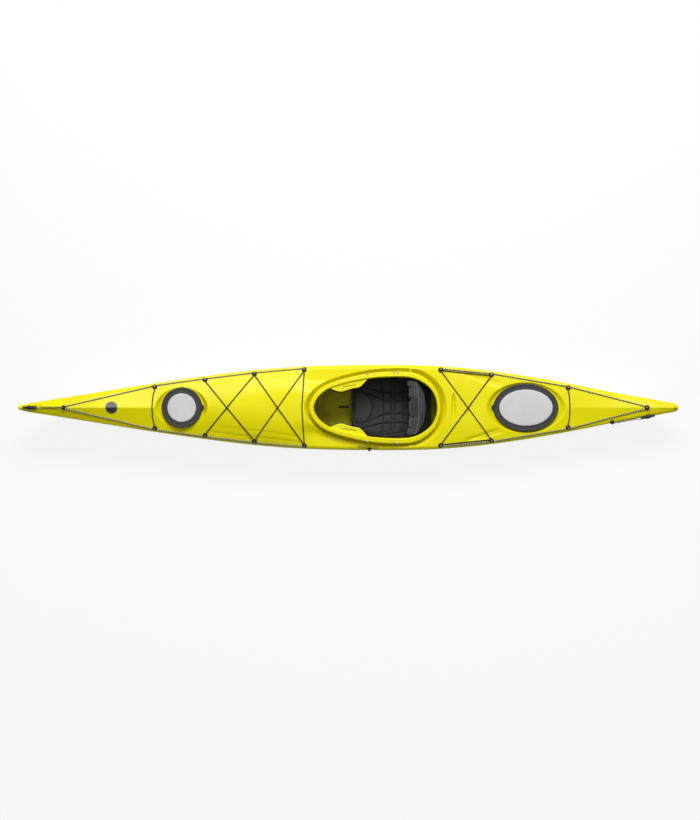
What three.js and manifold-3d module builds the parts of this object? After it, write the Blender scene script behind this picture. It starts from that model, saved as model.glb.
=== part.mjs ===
// A moulded sea kayak with its hatches, deck rigging, seat, foot rails and drop skeg.
// Millimetres, +X aft, +Y starboard, +Z up; the origin is under the keel, halfway along.
import * as THREE from 'three';
import { mergeVertices } from 'three/addons/utils/BufferGeometryUtils.js';
import Module from 'manifold-3d';

const wasm = await Module();
wasm.setup();

// Fits
const GAP = 0.3; // between pieces that touch
const PLAY = 0.5; // between pieces that slide or turn
const OVERRUN = 60; // how far a cutting shape runs past what it cuts
const WELD = 1e-4; // points nearer than this are one
const DEGREE = Math.PI / 180;

// Hull
const LENGTH = 4420;
const BEAM = 580;
const DEPTH = 400; // the height that the height shares below are taken from
const WALL = 5;
const KEEL_FLAT = 60;
const SHOULDER = 22; // the sloping band between the side and the deck
const TIP_SOLID = 70; // the moulded ends have no hollow
// Where things are along the hull: shares of its length, from its middle
const alongShares = {
  bowToggle: -0.48167, bowEye: -0.43054, badge: -0.35905, frontHatch: -0.25362, bowBulkhead: -0.17805,
  cockpit: -0.0534, rearHatch: 0.26878, skegBox: 0.32783, sternBail: 0.39977, sternEye: 0.45204,
  sternToggle: 0.45339, plug: 0.49457,
};

// Shares of the length, and of half the beam
const halfWidthShares = [
  [-0.5, 0.02], [-0.4985, 0.045], [-0.494, 0.072], [-0.48, 0.117], [-0.462, 0.162],
  [-0.439, 0.22], [-0.379, 0.37], [-0.318, 0.521], [-0.257, 0.66], [-0.196, 0.787],
  [-0.136, 0.89], [-0.075, 0.96], [-0.014, 0.99], [0.047, 1], [0.108, 0.99],
  [0.168, 0.9375], [0.229, 0.834], [0.29, 0.694], [0.351, 0.521], [0.411, 0.336],
  [0.455, 0.22], [0.483, 0.133], [0.494, 0.1], [0.4985, 0.07], [0.5, 0.035],
];
// Shares of the length, and of the depth
const keelShares = [
  [-0.5, 0.86], [-0.494, 0.7], [-0.48, 0.49], [-0.462, 0.315], [-0.439, 0.18],
  [-0.41, 0.09], [-0.379, 0.05], [-0.3, 0.015], [-0.2, 0.003], [-0.14, 0],
  [0.14, 0], [0.2, 0.003], [0.3, 0.014], [0.4, 0.035], [0.43, 0.055],
  [0.455, 0.125], [0.475, 0.28], [0.49, 0.46], [0.5, 0.63],
];
const sheerShares = [
  [-0.5, 0.93], [-0.44, 0.862], [-0.38, 0.805], [-0.3, 0.74], [-0.2, 0.68],
  [-0.1, 0.643], [0, 0.625], [0.1, 0.615], [0.2, 0.61], [0.3, 0.62],
  [0.4, 0.65], [0.45, 0.68], [0.5, 0.725],
];
const deckShares = [
  [-0.5, 0.96], [-0.44, 0.98], [-0.38, 0.963], [-0.3, 0.92], [-0.2, 0.88],
  [-0.1, 0.85], [-0.06, 0.84], [0.045, 0.78], [0.15, 0.727], [0.2, 0.72],
  [0.25, 0.718], [0.3, 0.722], [0.35, 0.733], [0.4, 0.752], [0.45, 0.77],
  [0.5, 0.782],
];
// Shares of the length, and the power of the deck's crown: 1 is a sharp ridge
const crownShares = [
  [-0.5, 1], [-0.3, 1.03], [-0.23, 1.35], [-0.165, 1.9], [-0.06, 2.6], [0.1, 3],
  [0.2, 2.4], [0.29, 1.8], [0.345, 1.1], [0.4, 1], [0.5, 1],
];
// Shares of the length, and how full the bottom is: 0 is a plain V
const fullnessShares = [
  [-0.5, 0], [-0.42, 0.08], [-0.3, 0.45], [-0.15, 0.9], [0, 1], [0.15, 0.95],
  [0.28, 0.6], [0.38, 0.25], [0.46, 0.05], [0.5, 0],
];
const stationShares = [
  -0.5, -0.4985, -0.494, -0.48, -0.462, -0.439, -0.41, -0.379, -0.34, -0.3, -0.257,
  -0.215, -0.165, -0.11, -0.06, 0, 0.06, 0.11, 0.15, 0.2, 0.245, 0.29, 0.335, 0.37,
  0.411, 0.435, 0.455, 0.475, 0.487, 0.494, 0.4985, 0.5,
];
const SIDE_STEPS = 5;
const DECK_STEPS = 4;
const SHOULDER_SHARE = 0.3; // the most of the half width that the shoulder takes
const KEEL_SHARE = 0.3; // the most of the half width that the flat keel takes
const EDGE_INSET_SHARE = 0.6;
// The side curve's two handles, as shares of its width and height: in a V and in a full section
const bilgeShares = { vee: [0.45, 0.3], full: [0.86, 0.06] };
const flankShares = { vee: [0.72, 0.68], full: [0.97, 0.3] };

// Cockpit and its rim, all in the rim's own sloping plane
const COCKPIT_LENGTH = 826;
const COCKPIT_FRONT = alongShares.cockpit * LENGTH;
const COCKPIT_BACK = COCKPIT_FRONT + COCKPIT_LENGTH;
const COCKPIT_WIDTH = 410;
const RIM_FRONT_HEIGHT = 352; // top of the rim at the front of the opening
const RIM_DROP = 56; // from the front of the opening to its back
const RIM_LIP_FRONT = 33;
const RIM_LIP_BACK = 24;
const RIM_LIP_SIDE = 37;
const RIM_THICK = 8;
const RIM_RISER = 6;
const RIM_RISER_DEPTH = 52;
const RECESS_FRONT = 68;
const RECESS_BACK = 65;
const RECESS_SIDE = 51;
const RECESS_DEPTH = 30; // floor of the recess under the rim's top
const RECESS_SIDE_DROP = 14; // how much lower the floor is at the sides
const RECESS_FLARE_SHARE = 0.5; // how far its walls lean out for each unit of height
const cockpitShares = [
  [0, 0], [0.033, 0.315], [0.095, 0.551], [0.2, 0.728], [0.333, 0.862], [0.49, 0.965],
  [0.685, 1], [0.8, 0.965], [0.88, 0.827], [0.95, 0.597], [0.987, 0.314], [1, 0],
];
const COCKPIT_POINTS = 34;

// Thigh braces: flanges moulded inward from the rim, with a pad under each
const BRACE_THICK = 6;
const BRACE_DROP = 9;
const BRACE_BITE = 4; // how far it runs into the riser
const BRACE_PAD_THICK = 12;
const BRACE_PAD_LIP = 6;
// Shares of the opening's length from its front, and of half its width
const braceShares = [
  [0.11, 0.72], [0.145, 0.61], [0.184, 0.545], [0.22, 0.52], [0.262, 0.565],
  [0.316, 0.63], [0.37, 0.67], [0.385, 0.715], [0.43, 0.92],
];

// Hatches
const HATCH_WALL = 7;
const HATCH_COLLAR_HEIGHT = 20;
const HATCH_COLLAR_FLANGE = 14;
const HATCH_COVER_TOP = 28; // top of the rubber above the recess floor
const HATCH_SKIRT = 6;
const HATCH_PANEL_THICK = 6;
const HATCH_PANEL_EDGE = 1; // height of the panel's sloping edge
const HATCH_TAB_WIDTH = 40;
const HATCH_TAB_REACH = 14;
const HATCH_TAB_THICK = 6;
const HATCH_POINTS = 28;
const FRONT_HATCH_LONG = 270;
const FRONT_HATCH_WIDE = 270;
const FRONT_HATCH_RING = 38.5; // rubber that shows round the panel
const FRONT_HATCH_FLOOR = 322; // height of its recess's floor
const FRONT_HATCH_ROOM_LONG = 30; // how much longer than the cover the recess's floor is
const FRONT_HATCH_ROOM_WIDE = 8;
const REAR_HATCH_LONG = 435;
const REAR_HATCH_WIDE = 320;
const REAR_HATCH_RING = 37;
const REAR_HATCH_FLOOR = 262;
const REAR_HATCH_ROOM_LONG = 29;
const REAR_HATCH_ROOM_WIDE = 6;
// The flares are how far a recess's walls lean out for each unit of height
const frontHatch = {
  name: 'front_hatch', place: alongShares.frontHatch * LENGTH, floor: FRONT_HATCH_FLOOR,
  long: FRONT_HATCH_LONG, wide: FRONT_HATCH_WIDE, ring: FRONT_HATCH_RING,
  roomLong: FRONT_HATCH_ROOM_LONG, roomWide: FRONT_HATCH_ROOM_WIDE,
  flareLongShare: 0.7, flareWideShare: 0.5, tabFacesAft: true,
};
const rearHatch = {
  name: 'rear_hatch', place: alongShares.rearHatch * LENGTH, floor: REAR_HATCH_FLOOR,
  long: REAR_HATCH_LONG, wide: REAR_HATCH_WIDE, ring: REAR_HATCH_RING,
  roomLong: REAR_HATCH_ROOM_LONG, roomWide: REAR_HATCH_ROOM_WIDE,
  flareLongShare: 1.2, flareWideShare: 0.5, tabFacesAft: false,
};
const RECESS_HIGH = 90; // how far a recess cutter reaches above its floor

// The shallow moulded dish behind the cockpit
const DISH_BEHIND = 112; // from the opening's back to its middle
const DISH_PLACE = COCKPIT_BACK + DISH_BEHIND;
const DISH_LONG = 28;
const DISH_WIDE = 192;
const DISH_DEEP = 6;
const dishAcrossShares = [-1, -0.6, 0, 0.6, 1];
const DISH_END_SHARE = 0.2; // of its length and depth, at its two ends
const DISH_EDGE_SHARE = 0.9;

// Bulkheads
const BOW_BULKHEAD_FACE = alongShares.bowBulkhead * LENGTH;
const STERN_BULKHEAD_BEHIND = 62; // from the opening's back to its front face
const STERN_BULKHEAD_FACE = COCKPIT_BACK + STERN_BULKHEAD_BEHIND;
const BULKHEAD_THICK = 45;

// Deck eyes and cords
const EYE_RADIUS = 17;
const EYE_HEIGHT = 15;
const EYE_SIDES = 8;
const EYE_BORE_HEIGHT = 7;
const LINE_DIAMETER = 5;
const BUNGEE_DIAMETER = 6;
const LINE_OUTBOARD = 8; // from an eye's middle to the deck line
const LINE_OFF_RIDGE = 6; // the same at the two ends, on the ridge
const BUNGEE_INBOARD = 5;
const CORD_LIFT = 1.6; // air under a cord on the deck
const CORD_SIDES = 8;
const BORE_SIDES = 6; // the eyes' bores
const LINE_STRIDE = 100;
const BUNGEE_STRIDE = 60;
const EYE_PASS = 20; // a cord is level with an eye's bore this far each side of it
const SEAT_CUT = 6; // how far a fitting is sunk before the deck is cut away from it
// Shares of the length, and of the half width there
const eyeShares = [
  ['p2', -0.2948, 0.83], ['p3', -0.219, 0.865], ['p4', -0.1441, 0.888], ['p7', 0.2163, 0.884],
  ['p8', 0.333, 0.8],
];
// The eyes beside the cockpit: before and behind its opening, and shares of the half width there
const COCKPIT_EYE_BEFORE = 65.9;
const COCKPIT_EYE_BEHIND = 24.8;
const cockpitEyeShares = { before: 0.915, behind: 0.904 };
const BOW_EYE_PLACE = alongShares.bowEye * LENGTH;
const STERN_EYE_PLACE = alongShares.sternEye * LENGTH;
const BUNGEE_BOW_OUT = 15; // how far the bungee before the cockpit bows forward
const TIE_STARTS = 4; // where the stern bungee's two ends lie in their eye, off its middle
const TIE_ENDS = 7;
const EYE_NEAR_SHARE = 0.4; // of the pass, on the way into an eye's turn
const EYE_TURN_SHARE = 0.12;
const CROSSING_SHARE = 0.33; // how much lower than its top a crossing starts, of the cord's diameter
const EYE_RIM_SHARE = 0.4; // of the eye's height, straight before its cone
const EYE_TOP_SHARE = 0.62; // of the eye's radius, at its top

// Carrying toggles
const TOGGLE_LENGTH = 97;
const TOGGLE_RADIUS = 9;
const TOGGLE_COLLAR = 14;
const TOGGLE_COLLAR_LENGTH = 31;
const TOGGLE_SIDES = 10;
const TOGGLE_SOFT = 3; // bevel of its ends and collar
const TOGGLE_CORD = 4;
const BAIL_RADIUS = 16;
const BAIL_BASE = 4;
const BAIL_BAR = 6;
const BAIL_WINDOW = 17;
const BAIL_CHEEK = 5.5;
const BAIL_LOOP = 8.2; // radius of the cord's turn round the bar
const BOW_TOGGLE_PLACE = alongShares.bowToggle * LENGTH;
const TOGGLE_LIFT = 1; // air under the toggle and its cord
const TOGGLE_CORD_GRIP = 42; // where the cord leaves the toggle's side, from the collar
const slackShares = [0.8, 0.6, 0.4, 0.3]; // of the cord's slack, from the toggle to the bar
// The cord's turn round the bar: degrees, and share of the offset between its strands
const barTurnShares = [[60, 1], [100, 0.7], [140, 0.3], [180, 0], [220, -0.3], [260, -0.7], [300, -1]];
const STERN_BAIL_PLACE = alongShares.sternBail * LENGTH;
const STERN_BAIL_SHARE = -0.9;
const STERN_TOGGLE_PLACE = alongShares.sternToggle * LENGTH;
const STERN_TOGGLE_SHARE = -0.8;

// Seat
const BACK_PIVOT_BEFORE = 150; // from the backrest's pivot to the opening's back
const BACK_PIVOT_PLACE = COCKPIT_BACK - BACK_PIVOT_BEFORE;
const SEAT_BEFORE = 36; // from the seat's back to the pivot
const SEAT_BACK = BACK_PIVOT_PLACE - SEAT_BEFORE;
const SEAT_LENGTH = 389;
const SEAT_FRONT = SEAT_BACK - SEAT_LENGTH;
const SEAT_WIDTH = 400;
const SEAT_FRONT_WIDTH = 256;
const SEAT_PAD_THICK = 26;
const SEAT_PAD_CROWN = 9;
const SEAT_CHANNEL = 6;
const SEAT_REST_HEIGHT = 42; // underside of the pan at the back
const SEAT_RISE = 30; // how much higher the front of the pan is
const PAN_THICK = 5;
const PAN_SHELF = 119; // how far the pan runs on behind the backrest's pivot
const PEDESTAL_LONG = 250;
const PEDESTAL_WIDE = 220;
const HANGER_BEFORE = 92; // from a hanger's middle to the seat's back
const HANGER_PLACE = SEAT_BACK - HANGER_BEFORE;
const HANGER_LONG = 60;
const seatAcrossShares = [
  -1, -0.975, -0.9, -0.72, -0.575, -0.534, -0.49, -0.37, -0.29, -0.251, -0.21, -0.1, 0,
  0.1, 0.21, 0.251, 0.29, 0.37, 0.49, 0.534, 0.575, 0.72, 0.9, 0.975, 1,
];
const seatAlongShares = [
  0, 0.012, 0.04, 0.065, 0.1, 0.2, 0.3, 0.335, 0.355, 0.375, 0.45, 0.55, 0.573, 0.596,
  0.67, 0.723, 0.746, 0.77, 0.85, 0.93, 0.98, 1,
];
const SEAT_TAPER_SHARE = 0.36; // of the seat's length, where it reaches its full width
const panShares = [0, 0.15, 0.36, 1];
const SEAT_FLAT_SHARE = 0.34; // the smooth front of the pad
const SEAT_EDGE_SHARE = 0.45; // how thick the pad is at its edge
const SEAT_CHANNEL_ACROSS_SHARE = 0.04; // half widths of the sewn channels
const SEAT_CHANNEL_ALONG_SHARE = 0.022;
const SWELL_POWER = 6; // how square the cushions' edges are
// The hanger's bends, as shares of the hull's half width there
const hangerShares = [0.84, 0.88, 0.85, 0.79];
const HANGER_BEND_SHARE = 0.9; // of the sheer's height
const seatChannelAcrossShares = [0.251, 0.534];
const seatChannelAlongShares = [0.573, 0.746];

// Backrest, in its own leaning frame
const BACK_PIVOT_HEIGHT = 92;
const BACK_LEAN = 10;
const BACK_HEIGHT = 190;
const BACK_NARROWER = 36; // than the seat
const BACK_WIDTH = SEAT_WIDTH - BACK_NARROWER;
const BACK_BOTTOM_NARROWER = 46; // than its top
const BACK_BOTTOM_WIDTH = BACK_WIDTH - BACK_BOTTOM_NARROWER;
const BACK_START = 14; // pad's lower edge above the pivot
const BACK_PAD_THICK = 34;
const BACK_ROLL = 22; // how much fuller the pad is at its top
const BACK_SHELL_THICK = 12;
const BACK_SHELL_BULGE = 38;
const BACK_WRAP = 36; // how far forward its sides come
const BACK_WRAP_POWER = 3.5;
const BACK_WRAP_SHARE = 0.35; // of its height, where they are fully forward
const BACK_REST_GAP = 1.5; // between its pad and its shell
const BACK_FOOT_GAP = 2; // what that gap grows by at the foot
const BACK_LUG = 16;
const PIVOT_RADIUS = 5;
const PIVOT_SIDES = 10;
const PIVOT_LENGTH = 34;
const backAcrossShares = [
  -1, -0.97, -0.9, -0.82, -0.79, -0.76, -0.58, -0.37, -0.33, -0.29, -0.15, 0,
  0.15, 0.29, 0.33, 0.37, 0.58, 0.76, 0.79, 0.82, 0.9, 0.97, 1,
];
const backUpShares = [0, 0.02, 0.06, 0.14, 0.22, 0.26, 0.3, 0.42, 0.52, 0.56, 0.6, 0.7, 0.8, 0.9, 0.97, 1];
const backCurveShares = [-1, -0.9, -0.78, -0.6, -0.35, 0, 0.35, 0.6, 0.78, 0.9, 1];
// The shell's levels: shares of its height, width and depth
const backShellShares = [[-0.04, 0.93, 0.7], [0.16, 0.97, 0.85], [0.35, 1, 1], [0.9, 1, 1], [1, 1, 0.8]];
const BACK_LUG_TALL = 26;
const BACK_EDGE_SHARE = 0.4; // how thick the pad is at its edge
const BACK_TAPER_SHARE = 0.5; // of the pad's height, where it reaches its full width
const BACK_ROLL_SHARE = 0.5; // of the pad's height, where the roll starts
const BACK_CHANNEL_SHARE = 0.04;
const backChannelAcrossShares = [0.33, 0.79];
const backChannelUpShares = [0.26, 0.56];

// Strap in front of the seat
const STRAP_WIDTH = 11;
const STRAP_THICK = 2.5;
const STRAP_REACH = 88;
const STRAP_OFFSET = 5;
// Shares of the strap's reach forward, and of the height of its upper end
const strapShares = [[0.35, 0.72], [0.6, 0.4]];
const STRAP_TOP_SHARE = 0.12;
const STRAP_FLOOR_SHARE = 0.8;

// Foot rails and pedals
const RAIL_LENGTH = 370;
const RAIL_HEIGHT = 128;
const RAIL_TALL = 24;
const RAIL_DEEP = 12;
const RAIL_FOOT = 14; // from the hull's inside to the rail
const RAIL_FOOT_LONG = 21;
const PEDAL_WIDE = 78;
const PEDAL_TALL = 88;
const PEDAL_THICK = 11;
const PEDAL_SLEEVE = 46;
const SLEEVE_WALL = 4;
const INSIDE_STEPS = 30; // of the hull's side, where a rail's place is looked up

// Skeg
const SKEG_BOX_FRONT = alongShares.skegBox * LENGTH;
const SKEG_BOX_LONG = 370;
const SKEG_BOX_WIDE = 24;
const SKEG_BOX_TALL = 150;
const SKEG_BOX_WALL = 3;
const SKEG_SLOT_WIDE = 12;
const SKEG_THICK = 6;
const SKEG_LONG = 296;
const SKEG_DEEP = 92;
const SKEG_PIVOT_INSET = 30; // from the front of the box
const SKEG_PIVOT_HEIGHT = 46;
const SKEG_PIN_RADIUS = 4;
const SKEG_HEEL = 18; // the blade ahead of its pivot
const SKEG_LOW = 24; // the blade below its pivot
const SKEG_TIP_GAP = 18; // from the blade's end to the box's end
// The blade's corners: shares of its length behind the pivot, and of its depth above its lower edge
const bladeShares = [
  [0.02, 0.64], [0.82, 1], [0.94, 0.86], [1, 0.56], [0.955, 0],
];
const SLIDER_RECESS_BEHIND = 362; // from the opening's front to its middle
const SLIDER_RECESS_PLACE = COCKPIT_FRONT + SLIDER_RECESS_BEHIND;
const SLIDER_OFFSET = 9; // from the recess's middle to the knob
const SLIDER_PLACE = SLIDER_RECESS_PLACE + SLIDER_OFFSET;
const SLIDER_RECESS_LONG = 118;
const SLIDER_RECESS_WIDE = 18;
const SLIDER_RECESS_DEEP = 8;
const SLIDER_TILT = 45;
const TRACK_THICK = 2.5;
const TRACK_SLOT = 6;
const TRACK_SLOT_LONG = 94;
const KNOB_LONG = 20;
const KNOB_WIDE = 12;
const KNOB_HIGH = 22;
const KNOB_BASE = 11; // height of its square base
const TONGUE_LONG = 12;
const CABLE_DIAMETER = 6;
const CABLE_CLEAR = 2; // between the housing and the wall that it leaves
const CABLE_END_HEIGHT = 127;
const CABLE_STEPS = 24;
// Shares of the way from the slider's recess to the skeg's box, of the half width and of the sheer's height
const cableShares = [
  [0.0872, 0.9254, 0.9959], [0.2064, 0.9145, 0.9758], [0.3256, 0.9078, 0.9632],
  [0.4449, 0.892, 0.9416], [0.5641, 0.8673, 0.918], [0.6833, 0.857, 0.8907],
  [0.793, 0.8314, 0.853], [0.8741, 0.7404, 0.8], [0.9218, 0.5543, 0.7248],
  [0.9552, 0.3027, 0.6223], [0.9774, 0.102, 0.5448],
];

// Small pieces
const BADGE_PLACE = alongShares.badge * LENGTH;
const BADGE_DIAMETER = 83;
const BADGE_THICK = 1.2;
const BADGE_SIDES = 20;
const PLUG_PLACE = alongShares.plug * LENGTH;
const PLUG_RADIUS = 6;
const PLUG_DEEP = 12;
const PLUG_LONG = 8;

// Materials
const finishes = {
  hull: { color: 0xf9ee00, roughness: 0.32, metalness: 0 },
  rubber: { color: 0x434343, roughness: 0.72, metalness: 0 },
  panel: { color: 0xd8d8d8, roughness: 0.55, metalness: 0 },
  plastic: { color: 0x1e1e1e, roughness: 0.5, metalness: 0 },
  foam: { color: 0x2a2a2a, roughness: 0.95, metalness: 0 },
  fabric: { color: 0x2b2b2d, roughness: 0.9, metalness: 0 },
  cord: { color: 0x2c2c2c, roughness: 0.85, metalness: 0 },
  steel: { color: 0xb8bbc0, roughness: 0.25, metalness: 1 },
  badge: { color: 0x30302e, roughness: 0.4, metalness: 0 },
};

const kayak = new THREE.Group();

function add(name, geometry, finish) {
  const mesh = new THREE.Mesh(geometry, new THREE.MeshStandardMaterial(finishes[finish]));
  mesh.name = name;
  kayak.add(mesh);
  return mesh;
}

// Solids: a geometry as a solid for cutting and joining, and back again
function solidOf(geometry) {
  const bare = new THREE.BufferGeometry();
  bare.setAttribute('position', geometry.getAttribute('position'));
  if (geometry.index) bare.setIndex(geometry.index);
  const merged = mergeVertices(bare, WELD);
  const triVerts = new Uint32Array(merged.index.array);
  const vertProperties = new Float32Array(merged.attributes.position.array);
  return new wasm.Manifold(new wasm.Mesh({ numProp: 3, vertProperties, triVerts }));
}

function geometryOf(solid) {
  const mesh = solid.getMesh();
  const geometry = new THREE.BufferGeometry();
  const places = new Float32Array(mesh.numVert * 3);
  for (let i = 0; i < mesh.numVert; i += 1) {
    places.set(mesh.vertProperties.subarray(i * mesh.numProp, i * mesh.numProp + 3), i * 3);
  }
  geometry.setAttribute('position', new THREE.BufferAttribute(places, 3));
  geometry.setIndex(new THREE.BufferAttribute(new Uint32Array(mesh.triVerts), 1));
  geometry.computeVertexNormals();
  return geometry;
}

// Turns a closed mesh so that its faces point out
function facingOut(positions, faces) {
  let volume = 0;
  const a = new THREE.Vector3();
  const b = new THREE.Vector3();
  const c = new THREE.Vector3();
  for (let i = 0; i < faces.length; i += 3) {
    a.fromArray(positions, faces[i] * 3);
    b.fromArray(positions, faces[i + 1] * 3);
    c.fromArray(positions, faces[i + 2] * 3);
    volume += a.dot(b.cross(c));
  }
  if (volume < 0) faces.reverse();
  const geometry = new THREE.BufferGeometry();
  geometry.setAttribute('position', new THREE.Float32BufferAttribute(positions, 3));
  geometry.setIndex(faces);
  geometry.computeVertexNormals();
  return geometry;
}

// Joins rings of [x, y, z] points; an open row of rings gets a fan at each end
function loft(rings, closed = false) {
  const count = rings[0].length;
  const positions = rings.flat(2);
  const faces = [];
  const last = closed ? rings.length : rings.length - 1;
  for (let i = 0; i < last; i += 1) {
    const next = (i + 1) % rings.length;
    for (let j = 0; j < count; j += 1) {
      const side = (j + 1) % count;
      const [a, b, c, d] = [i * count + j, next * count + j, next * count + side, i * count + side];
      faces.push(a, d, b, b, d, c);
    }
  }
  if (!closed) {
    [0, rings.length - 1].forEach((end) => {
      const centre = positions.length / 3;
      for (let k = 0; k < 3; k += 1) {
        positions.push(rings[end].reduce((sum, point) => sum + point[k], 0) / count);
      }
      for (let j = 0; j < count; j += 1) {
        const side = (j + 1) % count;
        if (end) faces.push(centre, end * count + j, end * count + side);
        else faces.push(centre, side, j);
      }
    });
  }
  return facingOut(positions, faces);
}

function box(long, wide, tall, x, y, z) {
  return new THREE.BoxGeometry(long, wide, tall).translate(x, y, z);
}

// Upright extrusion of a plan outline between two heights
function prism(points, low, high) {
  return loft([low, high].map((z) => points.map(([x, y]) => [x, y, z])));
}

// A smooth curve through rows of [place, value] that never overshoots them
function smoothTable(rows, scale) {
  const steps = rows.slice(1).map((row, i) => (row[1] - rows[i][1]) / (row[0] - rows[i][0]));
  const slopes = rows.map((row, i) => {
    if (i === 0) return steps[0];
    if (i === rows.length - 1) return steps[steps.length - 1];
    const [before, after] = [steps[i - 1], steps[i]];
    return before * after <= 0 ? 0 : (2 * before * after) / (before + after);
  });
  return (place) => {
    let i = 0;
    while (i < rows.length - 2 && place > rows[i + 1][0]) i += 1;
    const span = rows[i + 1][0] - rows[i][0];
    const t = THREE.MathUtils.clamp((place - rows[i][0]) / span, 0, 1);
    const rise = rows[i + 1][1] - rows[i][1];
    const bend = t * (1 - t) * ((1 - t) * (slopes[i] * span - rise) - t * (slopes[i + 1] * span - rise));
    return scale * (rows[i][1] + rise * t + bend);
  };
}

// Hull form
const atLength = (rows, scale) => {
  const curve = smoothTable(rows, scale);
  return (x) => curve(x / LENGTH);
};
const halfWidth = atLength(halfWidthShares, BEAM / 2);
const keelHeight = atLength(keelShares, DEPTH);
const sheerHeight = atLength(sheerShares, DEPTH);
const deckHeight = atLength(deckShares, DEPTH);
const crown = atLength(crownShares, 1);
const fullness = atLength(fullnessShares, 1);
const shoulderAt = (x) => Math.min(SHOULDER, halfWidth(x) * SHOULDER_SHARE);

// Height of the bare deck over a place, on the shoulder band too
function deckAt(x, y) {
  const wide = halfWidth(x);
  const shoulder = shoulderAt(x);
  const across = Math.abs(y);
  const edge = sheerHeight(x) + shoulder;
  if (across > wide - shoulder) return edge - (across - (wide - shoulder));
  return edge + (deckHeight(x) - edge) * (1 - (across / (wide - shoulder)) ** crown(x));
}

function deckNormal(x, y) {
  const step = 2 * WALL;
  const alongX = (deckAt(x + step, y) - deckAt(x - step, y)) / (2 * step);
  const alongY = (deckAt(x, y + step) - deckAt(x, y - step)) / (2 * step);
  return new THREE.Vector3(-alongX, -alongY, 1).normalize();
}

// One curve of the hull's side from the keel to the sheer
function sideCurve(x, inset) {
  const wide = halfWidth(x) - inset;
  const low = keelHeight(x) + inset;
  const high = sheerHeight(x);
  const full = fullness(x);
  const keel = Math.min(KEEL_FLAT / 2, wide * KEEL_SHARE);
  const handle = (shares) => {
    const [across, up] = shares.vee.map((vee, i) => vee + (shares.full[i] - vee) * full);
    return new THREE.Vector2(wide * across, low + (high - low) * up);
  };
  return new THREE.CubicBezierCurve(
    new THREE.Vector2(keel, low), handle(bilgeShares), handle(flankShares), new THREE.Vector2(wide, high),
  );
}

// The hull's section at a place, smaller by an inset all round
function hullRing(x, inset) {
  const side = sideCurve(x, inset).getPoints(SIDE_STEPS).map((p) => [p.x, p.y]);
  const wide = halfWidth(x) - inset;
  const shoulder = shoulderAt(x);
  const edge = sheerHeight(x) + shoulder - inset * EDGE_INSET_SHARE;
  const top = deckHeight(x) - inset;
  const deck = [];
  for (let i = 0; i < DECK_STEPS; i += 1) {
    const share = 1 - i / DECK_STEPS;
    deck.push([(wide - shoulder) * share, edge + (top - edge) * (1 - share ** crown(x))]);
  }
  const half = [...side, ...deck];
  const mirrored = half.map(([y, z]) => [-y, z]).reverse();
  return [...half, [0, top], ...mirrored].map(([y, z]) => [x, y, z]);
}

function hullForm(inset, endInset) {
  const reach = LENGTH / 2 - endInset;
  const inside = stationShares.map((share) => share * LENGTH).filter((x) => Math.abs(x) < reach - WALL);
  const places = endInset > 0 ? [-reach, ...inside, reach] : stationShares.map((share) => share * LENGTH);
  return solidOf(loft(places.map((x) => hullRing(x, inset))));
}

// Cockpit outlines: the opening, grown at its front, back and sides
function cockpitOutline(front, back, side) {
  const start = COCKPIT_FRONT - front;
  const long = COCKPIT_LENGTH + front + back;
  const half = COCKPIT_WIDTH / 2 + side;
  const mirrored = cockpitShares.slice(1, -1).reverse().map(([along, across]) => [along, -across]);
  const points = [...cockpitShares, ...mirrored].map(([along, across]) => (
    new THREE.Vector3(start + along * long, -across * half, 0)
  ));
  const curve = new THREE.CatmullRomCurve3(points, true, 'centripetal');
  return curve.getSpacedPoints(COCKPIT_POINTS).slice(0, -1).map((p) => [p.x, p.y]);
}

const rimHeight = (x) => RIM_FRONT_HEIGHT - (RIM_DROP * (x - COCKPIT_FRONT)) / COCKPIT_LENGTH;

function recessFloor(x, y) {
  const half = COCKPIT_WIDTH / 2 + RECESS_SIDE;
  return rimHeight(x) - RECESS_DEPTH - RECESS_SIDE_DROP * (y / half) ** 2;
}

function cockpitRecess(grow) {
  const at = (rise) => {
    const flare = rise * RECESS_FLARE_SHARE + grow;
    const outline = cockpitOutline(
      RECESS_FRONT - RIM_RISER + flare, RECESS_BACK - RIM_RISER + flare, RECESS_SIDE - RIM_RISER + flare,
    );
    return outline.map(([x, y]) => [x, y, recessFloor(x, y) - grow + rise]);
  };
  return solidOf(loft([at(0), at(RECESS_HIGH)]));
}

function cockpitOpening() {
  const low = RIM_FRONT_HEIGHT - RIM_DROP - RIM_RISER_DEPTH - OVERRUN;
  return solidOf(prism(cockpitOutline(0, 0, 0), low, RIM_FRONT_HEIGHT + OVERRUN));
}

function rimRing() {
  const ring = (grow, drop) => {
    const outline = cockpitOutline(grow * RIM_LIP_FRONT, grow * RIM_LIP_BACK, grow * RIM_LIP_SIDE);
    return outline.map(([x, y]) => [x, y, rimHeight(x) - drop]);
  };
  const riser = RIM_RISER / RIM_LIP_BACK;
  const edge = RIM_THICK / 2;
  return solidOf(loft([
    ring(0, RIM_RISER_DEPTH), ring(0, edge), ring(riser / 2, 0), ring(1 - riser / 2, edge / 2),
    ring(1, edge), ring(1 - riser / 2, RIM_THICK), ring(riser, RIM_THICK), ring(riser, RIM_RISER_DEPTH),
  ], true));
}

function bracePlate(side, lip, drop, thick, bite) {
  const places = braceShares.map(([along, across]) => [
    COCKPIT_FRONT + along * COCKPIT_LENGTH, (across * COCKPIT_WIDTH) / 2 - lip,
  ]);
  const outer = [...places].reverse().map(([x]) => [x, COCKPIT_WIDTH / 2 + RIM_RISER]);
  const plate = [...places, ...outer].map(([x, y]) => [x, side * y]);
  const layer = (down) => plate.map(([x, y]) => [x, y, rimHeight(x) - drop - down]);
  const within = prism(cockpitOutline(bite, bite, bite), 0, RIM_FRONT_HEIGHT + OVERRUN);
  return solidOf(loftPolygon(layer(thick), layer(0))).intersect(solidOf(within));
}

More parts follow.
